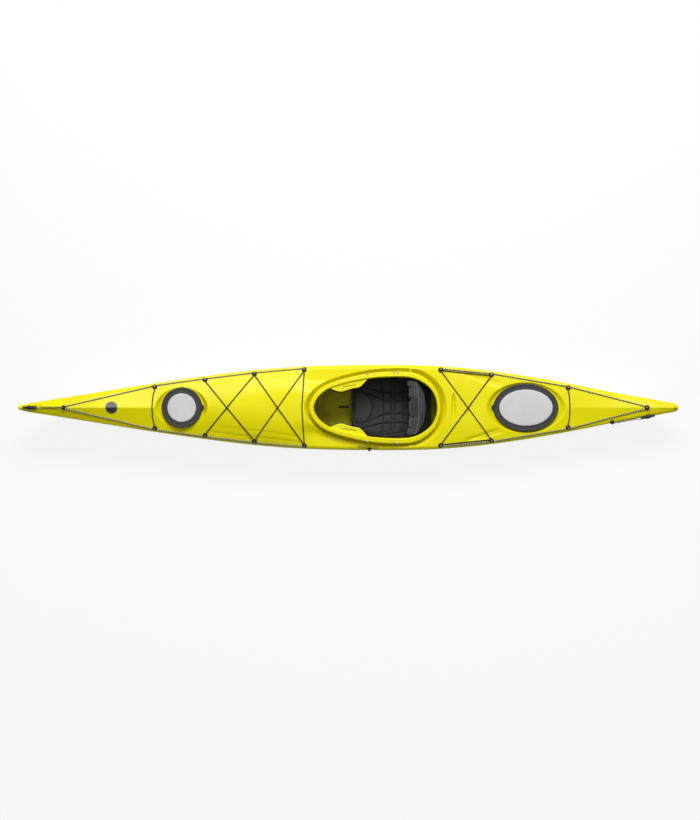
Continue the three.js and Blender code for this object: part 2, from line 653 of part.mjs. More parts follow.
// A plate between two copies of an outline that may bend inward
function loftPolygon(low, high) {
  const outline = low.map(([x, y]) => new THREE.Vector2(x, y));
  const flat = THREE.ShapeUtils.triangulateShape(outline, []);
  const count = low.length;
  const positions = [...low, ...high].flat();
  const faces = [];
  flat.forEach(([a, b, c]) => faces.push(a, c, b, a + count, b + count, c + count));
  const turn = THREE.ShapeUtils.isClockWise(outline);
  for (let j = 0; j < count; j += 1) {
    const side = (j + 1) % count;
    if (turn) faces.push(j, j + count, side, side, j + count, side + count);
    else faces.push(j, side, j + count, side, side + count, j + count);
  }
  return facingOut(positions, faces);
}

// Hatch outlines
function ellipse(long, wide, x, z) {
  const points = [];
  for (let i = 0; i < HATCH_POINTS; i += 1) {
    const turn = (2 * Math.PI * i) / HATCH_POINTS;
    points.push([x + (long / 2) * Math.cos(turn), (wide / 2) * Math.sin(turn), z]);
  }
  return points;
}

function hatchRecess(hatch, grow) {
  const at = (rise) => ellipse(
    hatch.long + hatch.roomLong + 2 * (grow + rise * hatch.flareLongShare),
    hatch.wide + hatch.roomWide + 2 * (grow + rise * hatch.flareWideShare),
    hatch.place, hatch.floor - grow + rise,
  );
  return solidOf(loft([at(0), at(RECESS_HIGH)]));
}

// The collar's bore, inside the rubber ring's grip
function hatchBore(hatch) {
  return { long: hatch.long - 2 * hatch.ring, wide: hatch.wide - 2 * hatch.ring };
}

function hatchHole(hatch) {
  const bore = hatchBore(hatch);
  const at = (z) => ellipse(bore.long, bore.wide, hatch.place, z);
  return solidOf(loft([at(hatch.floor - OVERRUN), at(hatch.floor + OVERRUN)]));
}

function deckDish(grow) {
  const rings = dishAcrossShares.map((share) => {
    const reach = Math.sqrt(Math.max(1 - share ** 2, DISH_END_SHARE ** 2));
    const y = share * (DISH_WIDE / 2 + grow);
    const half = reach * (DISH_LONG / 2 + grow);
    const floor = deckAt(DISH_PLACE, y) - DISH_DEEP * reach - grow;
    return [
      [DISH_PLACE - half, y, floor + OVERRUN], [DISH_PLACE + half, y, floor + OVERRUN],
      [DISH_PLACE + half, y, floor + DISH_DEEP * DISH_EDGE_SHARE], [DISH_PLACE, y, floor],
      [DISH_PLACE - half, y, floor + DISH_DEEP * DISH_EDGE_SHARE],
    ];
  });
  return solidOf(loft(rings));
}

// The skeg slider's recess in the port shoulder
const sliderSeat = new THREE.Matrix4().makeRotationX(SLIDER_TILT * DEGREE).setPosition(
  0,
  -(halfWidth(SLIDER_RECESS_PLACE) - SHOULDER / 2),
  sheerHeight(SLIDER_RECESS_PLACE) + SHOULDER / 2,
);

function sliderRecess(grow) {
  const tall = SLIDER_RECESS_DEEP + grow + OVERRUN / 2;
  const cut = box(
    SLIDER_RECESS_LONG + 2 * grow, SLIDER_RECESS_WIDE + 2 * grow, tall,
    SLIDER_RECESS_PLACE, 0, tall / 2 - SLIDER_RECESS_DEEP - grow,
  );
  return solidOf(cut.applyMatrix4(sliderSeat));
}

const hatches = [frontHatch, rearHatch];

function recesses(grow) {
  const hatchCuts = hatches.map((hatch) => hatchRecess(hatch, grow));
  return [cockpitRecess(grow), ...hatchCuts, deckDish(grow), sliderRecess(grow)];
}

const cutAll = (solid, cutters) => cutters.reduce((rest, cutter) => rest.subtract(cutter), solid);
const outerForm = cutAll(hullForm(0, 0), recesses(0));
const seatForm = hullForm(-GAP, 0);
const cavityForm = cutAll(hullForm(WALL + GAP, TIP_SOLID + GAP), recesses(WALL + GAP));
const skegMiddle = SKEG_BOX_FRONT + SKEG_BOX_LONG / 2;

function plugBore(radius, deep) {
  const top = deckHeight(PLUG_PLACE);
  return new THREE.CylinderGeometry(radius, radius, deep, TOGGLE_SIDES).rotateX(Math.PI / 2)
    .translate(PLUG_PLACE, 0, top - PLUG_DEEP + deep / 2);
}

function hullShell() {
  const cavity = cutAll(hullForm(WALL, TIP_SOLID), recesses(WALL));
  const slot = box(
    SKEG_BOX_LONG - 4 * SKEG_BOX_WALL, SKEG_SLOT_WIDE, 2 * OVERRUN, skegMiddle, 0, 0,
  );
  let shell = outerForm.subtract(cavity).subtract(cockpitOpening());
  shell = shell.add(rimRing());
  [1, -1].forEach((side) => {
    shell = shell.add(bracePlate(side, 0, BRACE_DROP, BRACE_THICK, BRACE_BITE));
  });
  hatches.forEach((hatch) => {
    shell = shell.subtract(hatchHole(hatch));
  });
  return shell.subtract(solidOf(slot)).subtract(solidOf(plugBore(PLUG_RADIUS, PLUG_DEEP + OVERRUN)));
}

add('hull_shell', geometryOf(hullShell()), 'hull');

// Bulkheads: foam slabs cut to the hull's inside
function bulkhead(face) {
  const slab = box(BULKHEAD_THICK, BEAM, 2 * DEPTH, face + BULKHEAD_THICK / 2, 0, 0);
  return solidOf(slab).intersect(cavityForm);
}

// Thigh pads
[['starboard', 1], ['port', -1]].forEach(([name, side]) => {
  const drop = BRACE_DROP + BRACE_THICK + GAP;
  const pad = bracePlate(side, BRACE_PAD_LIP, drop, BRACE_PAD_THICK, -GAP);
  add(`thigh_pad_${name}`, geometryOf(pad), 'foam');
});

// Hatch parts: collar on the deck, rubber ring that grips it, stiff panel in the ring
function hatchParts(hatch) {
  const { place, floor } = hatch;
  const bore = hatchBore(hatch);
  const ring = (grow, rise) => ellipse(bore.long + 2 * grow, bore.wide + 2 * grow, place, floor + rise);
  const reach = hatch.ring;
  const flange = reach - HATCH_SKIRT - PLAY;
  const collar = loft([
    ring(0, GAP), ring(0, HATCH_COLLAR_HEIGHT), ring(HATCH_WALL, HATCH_COLLAR_HEIGHT),
    ring(HATCH_WALL, HATCH_WALL / 2), ring(flange, HATCH_WALL / 2), ring(flange, GAP),
  ], true);
  add(`${hatch.name}_collar`, collar, 'plastic');

  const under = HATCH_COLLAR_HEIGHT + PLAY;
  const lid = HATCH_COVER_TOP - HATCH_PANEL_THICK;
  const cover = loft([
    ring(-HATCH_WALL, lid - HATCH_PANEL_THICK / 2 + GAP), ring(-HATCH_WALL, lid), ring(0, lid),
    ring(0, HATCH_COVER_TOP), ring(reach - HATCH_SKIRT / 2, HATCH_COVER_TOP),
    ring(reach, HATCH_COVER_TOP - HATCH_SKIRT / 2), ring(reach, HATCH_SKIRT / 2),
    ring(reach - HATCH_SKIRT / 2, GAP), ring(reach - HATCH_SKIRT, GAP), ring(reach - HATCH_SKIRT, under),
    ring(-HATCH_WALL / 2, under),
  ], true);
  const edge = place + (hatch.tabFacesAft ? hatch.long : -hatch.long) / 2;
  const tab = box(
    2 * HATCH_TAB_REACH, HATCH_TAB_WIDTH, HATCH_TAB_THICK,
    edge, 0, HATCH_TAB_THICK / 2 + floor + HATCH_SKIRT,
  );
  const bite = loft([ring(reach - HATCH_SKIRT, 0), ring(reach - HATCH_SKIRT, HATCH_COVER_TOP)]);
  const pull = solidOf(tab).subtract(solidOf(bite));
  add(`${hatch.name}_ring`, geometryOf(solidOf(cover).add(pull)), 'rubber');

  const panel = loft([
    ring(-GAP, lid + GAP), ring(-GAP, HATCH_COVER_TOP - HATCH_PANEL_EDGE),
    ring(-HATCH_WALL, HATCH_COVER_TOP),
  ]);
  add(`${hatch.name}_panel`, panel, 'panel');
}
hatches.forEach(hatchParts);

// A cord's route: its listed points joined in order, one step each
class Route extends THREE.Curve {
  constructor(points) {
    super();
    this.points = points;
  }

  getUtoTmapping(u) {
    return u;
  }

  getPoint(t, target = new THREE.Vector3()) {
    const place = t * (this.points.length - 1);
    const i = Math.min(Math.floor(place), this.points.length - 2);
    return target.copy(this.points[i]).lerp(this.points[i + 1], place - i);
  }
}

function tube(points, radius, sides = CORD_SIDES) {
  const corners = [];
  for (let i = 0; i < sides; i += 1) {
    const turn = (2 * Math.PI * i) / sides;
    corners.push(new THREE.Vector2(radius * Math.cos(turn), radius * Math.sin(turn)));
  }
  const path = { steps: points.length - 1, extrudePath: new Route(points) };
  return new THREE.ExtrudeGeometry(new THREE.Shape(corners), path);
}

// A bore round a tube, with a gap all round
function boreRound(points, diameter, gap) {
  const radius = (diameter / 2 + gap) / Math.cos(Math.PI / BORE_SIDES);
  return solidOf(tube(points, radius, BORE_SIDES));
}

// Eyes on the deck, starboard first
const eyes = {};

function placeEyes(name, x, across) {
  eyes[`${name}_starboard`] = [x, across * halfWidth(x)];
  eyes[`${name}_port`] = [x, -across * halfWidth(x)];
}
eyeShares.forEach(([name, along, across]) => placeEyes(name, along * LENGTH, across));
placeEyes('p5', COCKPIT_FRONT - COCKPIT_EYE_BEFORE, cockpitEyeShares.before);
placeEyes('p6', COCKPIT_BACK + COCKPIT_EYE_BEHIND, cockpitEyeShares.behind);
eyes.p1 = [BOW_EYE_PLACE, 0];
eyes.p9 = [STERN_EYE_PLACE, 0];

// Points of a cord that lies on the deck between places given as [x, y, height above the deck]
function laid(stops, diameter, stride) {
  const points = [];
  stops.forEach((stop, i) => {
    const [x, y, lift] = stop;
    points.push(new THREE.Vector3(x, y, deckAt(x, y) + lift));
    if (i === stops.length - 1) return;
    const [nextX, nextY] = stops[i + 1];
    const span = Math.hypot(nextX - x, nextY - y);
    const steps = Math.max(1, Math.round(span / stride));
    for (let k = 1; k < steps; k += 1) {
      const share = k / steps;
      const [midX, midY] = [x + (nextX - x) * share, y + (nextY - y) * share];
      const low = diameter / 2 + CORD_LIFT;
      points.push(new THREE.Vector3(midX, midY, deckAt(midX, midY) + low));
    }
  });
  return points;
}

function deckLine(names, side) {
  const places = names.map((name) => eyes[`${name}_${side > 0 ? 'starboard' : 'port'}`] ?? eyes[name]);
  const stops = [];
  places.forEach(([x, y], i) => {
    const out = i === 0 || i === places.length - 1;
    const before = places[Math.max(i - 1, 0)];
    const after = places[Math.min(i + 1, places.length - 1)];
    const run = new THREE.Vector2(after[0] - before[0], after[1] - before[1]).normalize();
    const shift = side * (y === 0 ? LINE_OFF_RIDGE : LINE_OUTBOARD);
    const at = (step) => [x + run.x * step, y + shift + run.y * step, EYE_BORE_HEIGHT];
    if (out) {
      const inward = i === 0 ? 1 : -1;
      const end = [at(inward * (y === 0 ? EYE_PASS / 2 : 0)), at(inward * EYE_PASS)];
      stops.push(...(i === 0 ? end : end.reverse()));
    } else {
      stops.push(at(-EYE_PASS), at(EYE_PASS));
    }
  });
  return laid(stops, LINE_DIAMETER, LINE_STRIDE);
}

const cords = {
  bow_deck_line_starboard: [deckLine(['p1', 'p2', 'p3', 'p4', 'p5'], 1), LINE_DIAMETER],
  bow_deck_line_port: [deckLine(['p1', 'p2', 'p3', 'p4', 'p5'], -1), LINE_DIAMETER],
  stern_deck_line_starboard: [deckLine(['p6', 'p7', 'p8', 'p9'], 1), LINE_DIAMETER],
  stern_deck_line_port: [deckLine(['p6', 'p7', 'p8', 'p9'], -1), LINE_DIAMETER],
};

// A bungee's turn through an eye, coming from one place and leaving for another
function eyeTurn(name, from, to) {
  const [x, y] = eyes[name];
  const side = Math.sign(y);
  const centre = new THREE.Vector2(x, y - side * BUNGEE_INBOARD);
  const entering = new THREE.Vector2(from[0], from[1]).sub(centre).normalize().multiplyScalar(EYE_PASS);
  const leaving = new THREE.Vector2(to[0], to[1]).sub(centre).normalize().multiplyScalar(EYE_PASS);
  const near = entering.clone().add(leaving).multiplyScalar(EYE_TURN_SHARE);
  return [
    [centre.x + entering.x, centre.y + entering.y, EYE_BORE_HEIGHT],
    [centre.x + entering.x * EYE_NEAR_SHARE, centre.y + entering.y * EYE_NEAR_SHARE, EYE_BORE_HEIGHT],
    [centre.x + near.x, centre.y + near.y, EYE_BORE_HEIGHT],
    [centre.x + leaving.x * EYE_NEAR_SHARE, centre.y + leaving.y * EYE_NEAR_SHARE, EYE_BORE_HEIGHT],
    [centre.x + leaving.x, centre.y + leaving.y, EYE_BORE_HEIGHT],
  ];
}

// A bungee's end in an eye, off the middle towards where it goes
function eyeEnd(name, to, off) {
  const [x, y] = eyes[name];
  const centre = new THREE.Vector2(x, y - Math.sign(y) * BUNGEE_INBOARD);
  const run = new THREE.Vector2(to[0], to[1]).sub(centre).normalize();
  return [off, EYE_PASS].map((reach) => [
    centre.x + run.x * reach, centre.y + run.y * reach, EYE_BORE_HEIGHT,
  ]);
}

// Where two spans cross, the upper one climbs over the lower
function crossing(a, b, c, d) {
  const [ax, ay, bx, by, cx, cy, dx, dy] = [...a, ...b, ...c, ...d];
  const denominator = (bx - ax) * (dy - cy) - (by - ay) * (dx - cx);
  const share = ((cx - ax) * (dy - cy) - (cy - ay) * (dx - cx)) / denominator;
  const [x, y] = [ax + (bx - ax) * share, ay + (by - ay) * share];
  const run = new THREE.Vector2(bx - ax, by - ay).normalize();
  const low = BUNGEE_DIAMETER / 2 + CORD_LIFT;
  const hump = low + BUNGEE_DIAMETER + CORD_LIFT;
  const start = hump - BUNGEE_DIAMETER * CROSSING_SHARE;
  return [-1, 0, 1].map((k) => [
    x + run.x * k * EYE_PASS, y + run.y * k * EYE_PASS, k === 0 ? hump : start,
  ]);
}

// Where a straight span meets the middle of the deck
function overRidge([ax, ay], [bx, by]) {
  return [ax + ((bx - ax) * ay) / (ay - by), 0, BUNGEE_DIAMETER / 2 + CORD_LIFT];
}

function bowLattice() {
  const [s3, s4, s5] = ['p3', 'p4', 'p5'].map((name) => eyes[`${name}_starboard`]);
  const [p3, p4, p5] = ['p3', 'p4', 'p5'].map((name) => eyes[`${name}_port`]);
  const bow = [s5[0] - BUNGEE_BOW_OUT, 0, BUNGEE_DIAMETER / 2 + CORD_LIFT];
  return laid([
    ...eyeEnd('p3_starboard', p4, 0),
    overRidge(s3, p4),
    ...eyeTurn('p4_port', s3, s5),
    overRidge(p4, s5),
    ...eyeTurn('p5_starboard', p4, bow),
    bow,
    ...eyeTurn('p5_port', bow, s4),
    ...crossing(p5, s4, p4, s5),
    ...eyeTurn('p4_starboard', p5, p3),
    ...crossing(s4, p3, p4, s3),
    ...eyeEnd('p3_port', s4, 0).reverse(),
  ], BUNGEE_DIAMETER, BUNGEE_STRIDE);
}

function sternBowTie() {
  const [s6, s7] = [eyes.p6_starboard, eyes.p7_starboard];
  const [p6, p7] = [eyes.p6_port, eyes.p7_port];
  return laid([
    ...eyeEnd('p6_starboard', p7, TIE_STARTS),
    overRidge(s6, p7),
    ...eyeTurn('p7_port', s6, p6),
    ...eyeTurn('p6_port', p7, s7),
    ...crossing(p6, s7, p7, s6),
    ...eyeTurn('p7_starboard', p6, s6),
    ...eyeEnd('p6_starboard', s7, TIE_ENDS).reverse(),
  ], BUNGEE_DIAMETER, BUNGEE_STRIDE);
}

function acrossDeck(name) {
  const [starboard, port] = [eyes[`${name}_starboard`], eyes[`${name}_port`]];
  return laid([
    ...eyeEnd(`${name}_starboard`, port, 0), overRidge(starboard, port),
    ...eyeEnd(`${name}_port`, starboard, 0).reverse(),
  ], BUNGEE_DIAMETER, BUNGEE_STRIDE / 2);
}

cords.bungee_bow_front = [acrossDeck('p2'), BUNGEE_DIAMETER];
cords.bungee_bow_lattice = [bowLattice(), BUNGEE_DIAMETER];
cords.bungee_stern_bow_tie = [sternBowTie(), BUNGEE_DIAMETER];
cords.bungee_stern_aft = [acrossDeck('p8'), BUNGEE_DIAMETER];
Object.entries(cords).forEach(([name, [points, diameter]]) => {
  add(name, tube(points, diameter / 2), 'cord');
});

const cordCutters = Object.values(cords).map(([points, diameter]) => boreRound(points, diameter, GAP));

// Places a fitting on the deck: its own Z along the deck's normal, its own X along a heading
function deckSeat(x, y, heading) {
  const up = deckNormal(x, y);
  const along = heading.clone().addScaledVector(up, -heading.dot(up)).normalize();
  const across = up.clone().cross(along);
  return new THREE.Matrix4().makeBasis(along, across, up).setPosition(x, y, deckAt(x, y));
}

const aft = new THREE.Vector3(1, 0, 0);

function deckEye(name) {
  const [x, y] = eyes[name];
  const profile = [
    [0, -SEAT_CUT], [EYE_RADIUS, -SEAT_CUT], [EYE_RADIUS, EYE_HEIGHT * EYE_RIM_SHARE],
    [EYE_RADIUS * EYE_TOP_SHARE, EYE_HEIGHT],
    [0, EYE_HEIGHT],
  ].map(([radius, height]) => new THREE.Vector2(radius, height));
  const body = new THREE.LatheGeometry(profile, EYE_SIDES).rotateX(Math.PI / 2)
    .applyMatrix4(deckSeat(x, y, aft));
  return cutAll(solidOf(body).subtract(seatForm), cordCutters);
}
Object.keys(eyes).filter((name) => name !== 'p1').forEach((name) => {
  add(`deck_eye_${name.slice(1)}`, geometryOf(deckEye(name)), 'plastic');
});

// A bail eye: a base with a bar that the toggle's cord turns round
const barHeight = BAIL_BASE + BAIL_LOOP + TOGGLE_CORD / 2 + 2 * PLAY;

function bailEye(seat) {
  const half = BAIL_WINDOW / 2;
  const outer = half + BAIL_CHEEK;
  const top = barHeight + BAIL_BAR / 2;
  const arch = new THREE.Shape([
    [-outer, -SEAT_CUT], [-outer, top - BAIL_BAR / 2], [-half, top], [half, top],
    [outer, top - BAIL_BAR / 2], [outer, -SEAT_CUT], [half, -SEAT_CUT], [half, top - BAIL_BAR],
    [-half, top - BAIL_BAR], [-half, -SEAT_CUT],
  ].map(([y, z]) => new THREE.Vector2(y, z)));
  const bail = new THREE.ExtrudeGeometry(arch, { depth: BAIL_BAR, bevelEnabled: false })
    .translate(0, 0, -BAIL_BAR / 2).rotateX(Math.PI / 2).rotateZ(Math.PI / 2);
  const base = new THREE.CylinderGeometry(BAIL_RADIUS, BAIL_RADIUS, BAIL_BASE + SEAT_CUT, EYE_SIDES)
    .rotateX(Math.PI / 2).translate(0, 0, (BAIL_BASE - SEAT_CUT) / 2);
  const body = solidOf(bail.applyMatrix4(seat)).add(solidOf(base.applyMatrix4(seat)));
  return cutAll(body.subtract(seatForm), cordCutters);
}

// A toggle on its doubled cord, which turns round the bar of its eye
function toggleSet(name, seat, x, y) {
  const bar = new THREE.Vector3(0, 0, barHeight).applyMatrix4(seat);
  const rest = new THREE.Vector3(x, y, deckAt(x, y));
  rest.addScaledVector(deckNormal(x, y), TOGGLE_COLLAR + TOGGLE_LIFT);
  const along = rest.clone().sub(bar);
  const reach = along.length();
  along.normalize();
  const across = new THREE.Vector3().setFromMatrixColumn(seat, 1);
  across.addScaledVector(along, -across.dot(along)).normalize();
  const frame = new THREE.Matrix4().makeBasis(along, across, along.clone().cross(across)).setPosition(bar);

  const half = TOGGLE_LENGTH / 2;
  const collar = TOGGLE_COLLAR_LENGTH / 2;
  const profile = [
    [0, -half], [TOGGLE_RADIUS - TOGGLE_SOFT, -half], [TOGGLE_RADIUS, TOGGLE_SOFT - half],
    [TOGGLE_RADIUS, -collar], [TOGGLE_COLLAR, TOGGLE_SOFT - collar],
    [TOGGLE_COLLAR, collar - TOGGLE_SOFT], [TOGGLE_RADIUS, collar],
    [TOGGLE_RADIUS, half - TOGGLE_SOFT], [TOGGLE_RADIUS - TOGGLE_SOFT, half], [0, half],
  ].map(([radius, height]) => new THREE.Vector2(radius, height));
  const toggle = new THREE.LatheGeometry(profile, TOGGLE_SIDES).rotateZ(Math.PI / 2).translate(reach, 0, 0);
  add(name, toggle.applyMatrix4(frame), 'plastic');

  const strand = TOGGLE_RADIUS + TOGGLE_CORD / 2 + GAP; // beside the toggle's grip
  const face = reach - collar - GAP;
  const slack = face - TOGGLE_CORD_GRIP;
  const loose = (share, side) => {
    const place = new THREE.Vector3(slack * share, side * TOGGLE_CORD, 0).applyMatrix4(frame);
    const low = deckAt(place.x, place.y) + TOGGLE_CORD / 2 + TOGGLE_LIFT;
    return place.setZ(Math.max(low, place.z - barHeight));
  };
  const turn = (degrees, side) => new THREE.Vector3(
    BAIL_LOOP * Math.cos(degrees * DEGREE), side * TOGGLE_CORD / 2, BAIL_LOOP * Math.sin(degrees * DEGREE),
  ).applyMatrix4(frame);
  const held = (place, side) => new THREE.Vector3(place, side * strand, 0).applyMatrix4(frame);
  const points = [
    held(face, 1), held(slack, 1), ...slackShares.map((share) => loose(share, 1)),
    ...barTurnShares.map(([degrees, share]) => turn(degrees, share)),
    ...[...slackShares].reverse().map((share) => loose(share, -1)), held(slack, -1), held(face, -1),
  ];
  add(`${name}_cord`, tube(points, TOGGLE_CORD / 2), 'cord');
}

const bowSeat = deckSeat(BOW_EYE_PLACE, 0, aft.clone().negate());
add('deck_eye_1', geometryOf(bailEye(bowSeat)), 'plastic');
toggleSet('bow_toggle', bowSeat, BOW_TOGGLE_PLACE, 0);

const bailY = STERN_BAIL_SHARE * halfWidth(STERN_BAIL_PLACE);
const sternToggleY = STERN_TOGGLE_SHARE * halfWidth(STERN_TOGGLE_PLACE);
const sternHeading = new THREE.Vector3(STERN_TOGGLE_PLACE - STERN_BAIL_PLACE, sternToggleY - bailY, 0);
const sternSeat = deckSeat(STERN_BAIL_PLACE, bailY, sternHeading);
add('deck_eye_10', geometryOf(bailEye(sternSeat)), 'plastic');
toggleSet('stern_toggle', sternSeat, STERN_TOGGLE_PLACE, sternToggleY);

// A strip of even thickness along a row of places, as a plan outline
function strip(places, thick) {
  const normals = places.map((place, i) => {
    const before = places[Math.max(i - 1, 0)];
    const after = places[Math.min(i + 1, places.length - 1)];
    const run = new THREE.Vector2(after[0] - before[0], after[1] - before[1]).normalize();
    return [-run.y * (thick / 2), run.x * (thick / 2)];
  });
  const edge = (way) => places.map(([a, b], i) => (
    new THREE.Vector2(a + way * normals[i][0], b + way * normals[i][1])
  ));
  return new THREE.Shape([...edge(1), ...edge(-1).reverse()]);
}

// Seat: pan on its pedestal, hung from the deck at both sides
const seatHalf = smoothTable([
  [SEAT_FRONT, SEAT_FRONT_WIDTH / 2], [SEAT_FRONT + SEAT_WIDTH * SEAT_TAPER_SHARE, SEAT_WIDTH / 2],
  [SEAT_BACK, SEAT_WIDTH / 2],
], 1);
const panTop = (x) => SEAT_REST_HEIGHT + PAN_THICK + (SEAT_RISE * (SEAT_BACK - x)) / SEAT_LENGTH;
const backBolt = [BACK_PIVOT_PLACE, BACK_PIVOT_HEIGHT];
const earInner = BACK_WIDTH / 2 + PLAY;
const earTop = BACK_PIVOT_HEIGHT + BACK_LUG;
const panBack = BACK_PIVOT_PLACE + PAN_SHELF;

function boltBore(y, long, radius) {
  const bore = new THREE.CylinderGeometry(radius, radius, long, PIVOT_SIDES);
  return solidOf(bore.translate(backBolt[0], y, backBolt[1]));
}

function seatPan() {
  const places = panShares.map((share) => SEAT_FRONT + share * SEAT_LENGTH);
  const plate = loft([...places, panBack].map((x) => {
    const half = seatHalf(Math.min(x, SEAT_BACK));
    const top = panTop(Math.min(x, SEAT_BACK));
    return [[x, -half, top - PAN_THICK], [x, half, top - PAN_THICK], [x, half, top], [x, -half, top]];
  }));
  const middle = (SEAT_FRONT + SEAT_BACK) / 2;
  const pedestal = loft([-1, 1].map((end) => {
    const x = middle + (end * PEDESTAL_LONG) / 2;
    const top = panTop(x) - PAN_THICK / 2;
    const half = PEDESTAL_WIDE / 2;
    return [[x, -half, 0], [x, half, 0], [x, half, top], [x, -half, top]];
  }));
  let pan = solidOf(plate).add(solidOf(pedestal));
  const side = halfWidth(HANGER_PLACE);
  const low = panTop(HANGER_PLACE + HANGER_LONG / 2) - PAN_THICK / 2 - GAP;
  const high = sheerHeight(HANGER_PLACE);
  const path = [
    [SEAT_WIDTH / 2 - HANGER_LONG / 2, low], [SEAT_WIDTH / 2 - PAN_THICK, low],
    [side * hangerShares[0], low + HANGER_LONG], [side * hangerShares[1], high * HANGER_BEND_SHARE],
    [side * hangerShares[2], high + SHOULDER], [side * hangerShares[3], high + 2 * SHOULDER],
  ];
  [1, -1].forEach((hand) => {
    const run = { depth: HANGER_LONG, bevelEnabled: false };
    const strap = new THREE.ExtrudeGeometry(strip(path, PAN_THICK), run)
      .rotateX(Math.PI / 2).rotateZ(Math.PI / 2).translate(HANGER_PLACE - HANGER_LONG / 2, 0, 0);
    if (hand < 0) strap.rotateZ(Math.PI).translate(2 * HANGER_PLACE, 0, 0);
    pan = pan.add(solidOf(strap));
    const ear = box(
      2 * BACK_LUG, PAN_THICK, earTop - SEAT_REST_HEIGHT, BACK_PIVOT_PLACE,
      hand * (earInner + PAN_THICK / 2), (earTop + SEAT_REST_HEIGHT) / 2,
    );
    pan = pan.add(solidOf(ear)).subtract(boltBore(hand * earInner, 4 * PAN_THICK, PIVOT_RADIUS + GAP));
  });
  return pan.intersect(cavityForm);
}
add('seat_pan', geometryOf(seatPan()), 'plastic');

// How deep the sewn channels are at a place, from 0 to 1
function channels(value, shares, width) {
  return Math.max(...shares.map((share) => Math.max(0, 1 - Math.abs(Math.abs(value) - share) / width)));
}

// Fullness of a cushion from its middle, 1, to its edge, 0
const swell = (share) => Math.sqrt(Math.max(0, 1 - Math.abs(share) ** SWELL_POWER));

function seatPad() {
  const rings = seatAlongShares.map((along) => {
    const x = SEAT_FRONT + along * SEAT_LENGTH;
    const half = seatHalf(x);
    const floor = panTop(x) + GAP;
    const end = swell(2 * along - 1);
    const top = seatAcrossShares.map((across) => {
      const edge = swell(across) * end;
      const lengthwise = channels(across, seatChannelAcrossShares, SEAT_CHANNEL_ACROSS_SHARE);
      const sewn = Math.max(
        along > SEAT_FLAT_SHARE ? lengthwise : 0,
        channels(along, seatChannelAlongShares, SEAT_CHANNEL_ALONG_SHARE),
      );
      const filled = SEAT_EDGE_SHARE + (1 - SEAT_EDGE_SHARE) * edge;
      const rise = SEAT_PAD_THICK * filled + SEAT_PAD_CROWN * edge * (1 - across ** 2);
      return [x, across * half, floor + rise - SEAT_CHANNEL * sewn * edge];
    });
    const tuck = half - SEAT_CHANNEL;
    return [...top, [x, tuck, floor], [x, -tuck, floor]];
  });
  return loft(rings);
}
add('seat_pad', seatPad(), 'fabric');

// Backrest, made upright round its pivot and then leaned back
const backFrame = new THREE.Matrix4().makeRotationY(BACK_LEAN * DEGREE)
  .setPosition(backBolt[0], 0, backBolt[1]);

// How far through its foot a place is, from 0 at its lowest edge to 1 where its sides are fully forward
function backRise(z) {
  const foot = backShellShares[0][0];
  return Math.min(1, Math.max(0, (z / BACK_HEIGHT - foot) / (BACK_WRAP_SHARE - foot)));
}

// How far forward the backrest's sides curve at a place
const backWrap = (y, z) => BACK_WRAP * backRise(z) * Math.abs((2 * y) / BACK_WIDTH) ** BACK_WRAP_POWER;

function backShell() {
  const half = BACK_WIDTH / 2;
  const front = backCurveShares.map((share) => [0, share * half]);
  const rear = front.map(([, y]) => (
    [BACK_SHELL_THICK + BACK_SHELL_BULGE * (1 - (y / half) ** 2), -y]
  ));
  const rings = backShellShares.map(([up, wide, deep]) => [...front, ...rear].map(([x, y]) => {
    const z = up * BACK_HEIGHT;
    return [x * deep - backWrap(y * wide, z), y * wide, z];
  }));
  let shell = solidOf(loft(rings).applyMatrix4(backFrame));
  [1, -1].forEach((hand) => {
    const lug = box(
      BACK_LUG, BACK_LUG, BACK_LUG_TALL, BACK_LUG / 4, hand * (half - BACK_LUG / 2), 0,
    ).applyMatrix4(backFrame);
    shell = shell.add(solidOf(lug)).subtract(boltBore(hand * half, 2 * PIVOT_LENGTH, PIVOT_RADIUS + PLAY));
  });
  return shell;
}
add('backrest_shell', geometryOf(backShell()), 'plastic');

function backPad() {
  const rings = backUpShares.map((up) => {
    const z = BACK_START + up * (BACK_HEIGHT - BACK_START);
    const widening = Math.min(1, up / BACK_TAPER_SHARE);
    const half = (BACK_BOTTOM_WIDTH + (BACK_WIDTH - BACK_BOTTOM_WIDTH) * widening) / 2;
    const end = swell(2 * up - 1);
    const roll = (BACK_ROLL * Math.max(0, up - BACK_ROLL_SHARE)) / (1 - BACK_ROLL_SHARE);
    const front = backAcrossShares.map((across) => {
      const edge = swell(across) * end;
      const sewn = Math.max(
        channels(across, backChannelAcrossShares, BACK_CHANNEL_SHARE),
        channels(up, backChannelUpShares, BACK_CHANNEL_SHARE),
      );
      const filled = BACK_EDGE_SHARE + (1 - BACK_EDGE_SHARE) * edge;
      const thick = BACK_PAD_THICK * filled + roll * edge - SEAT_CHANNEL * sewn * edge;
      return [-thick - backWrap(across * half, z), across * half, z];
    });
    const gap = BACK_REST_GAP + BACK_FOOT_GAP * (1 - backRise(z));
    const tuck = half - SEAT_CHANNEL;
    const rear = backCurveShares.map((share) => {
      const y = Math.max(-tuck, Math.min(tuck, (-share * BACK_WIDTH) / 2));
      return [-gap - backWrap(y, z), y, z];
    });
    return [...front, ...rear];
  });
  return loft(rings).applyMatrix4(backFrame);
}
add('backrest_pad', backPad(), 'fabric');

[['starboard', 1], ['port', -1]].forEach(([name, hand]) => {
  const bolt = new THREE.CylinderGeometry(PIVOT_RADIUS, PIVOT_RADIUS, PIVOT_LENGTH, PIVOT_SIDES)
    .translate(backBolt[0], hand * (earInner + PAN_THICK / 2), backBolt[1]);
  add(`backrest_pivot_${name}`, bolt, 'steel');
});

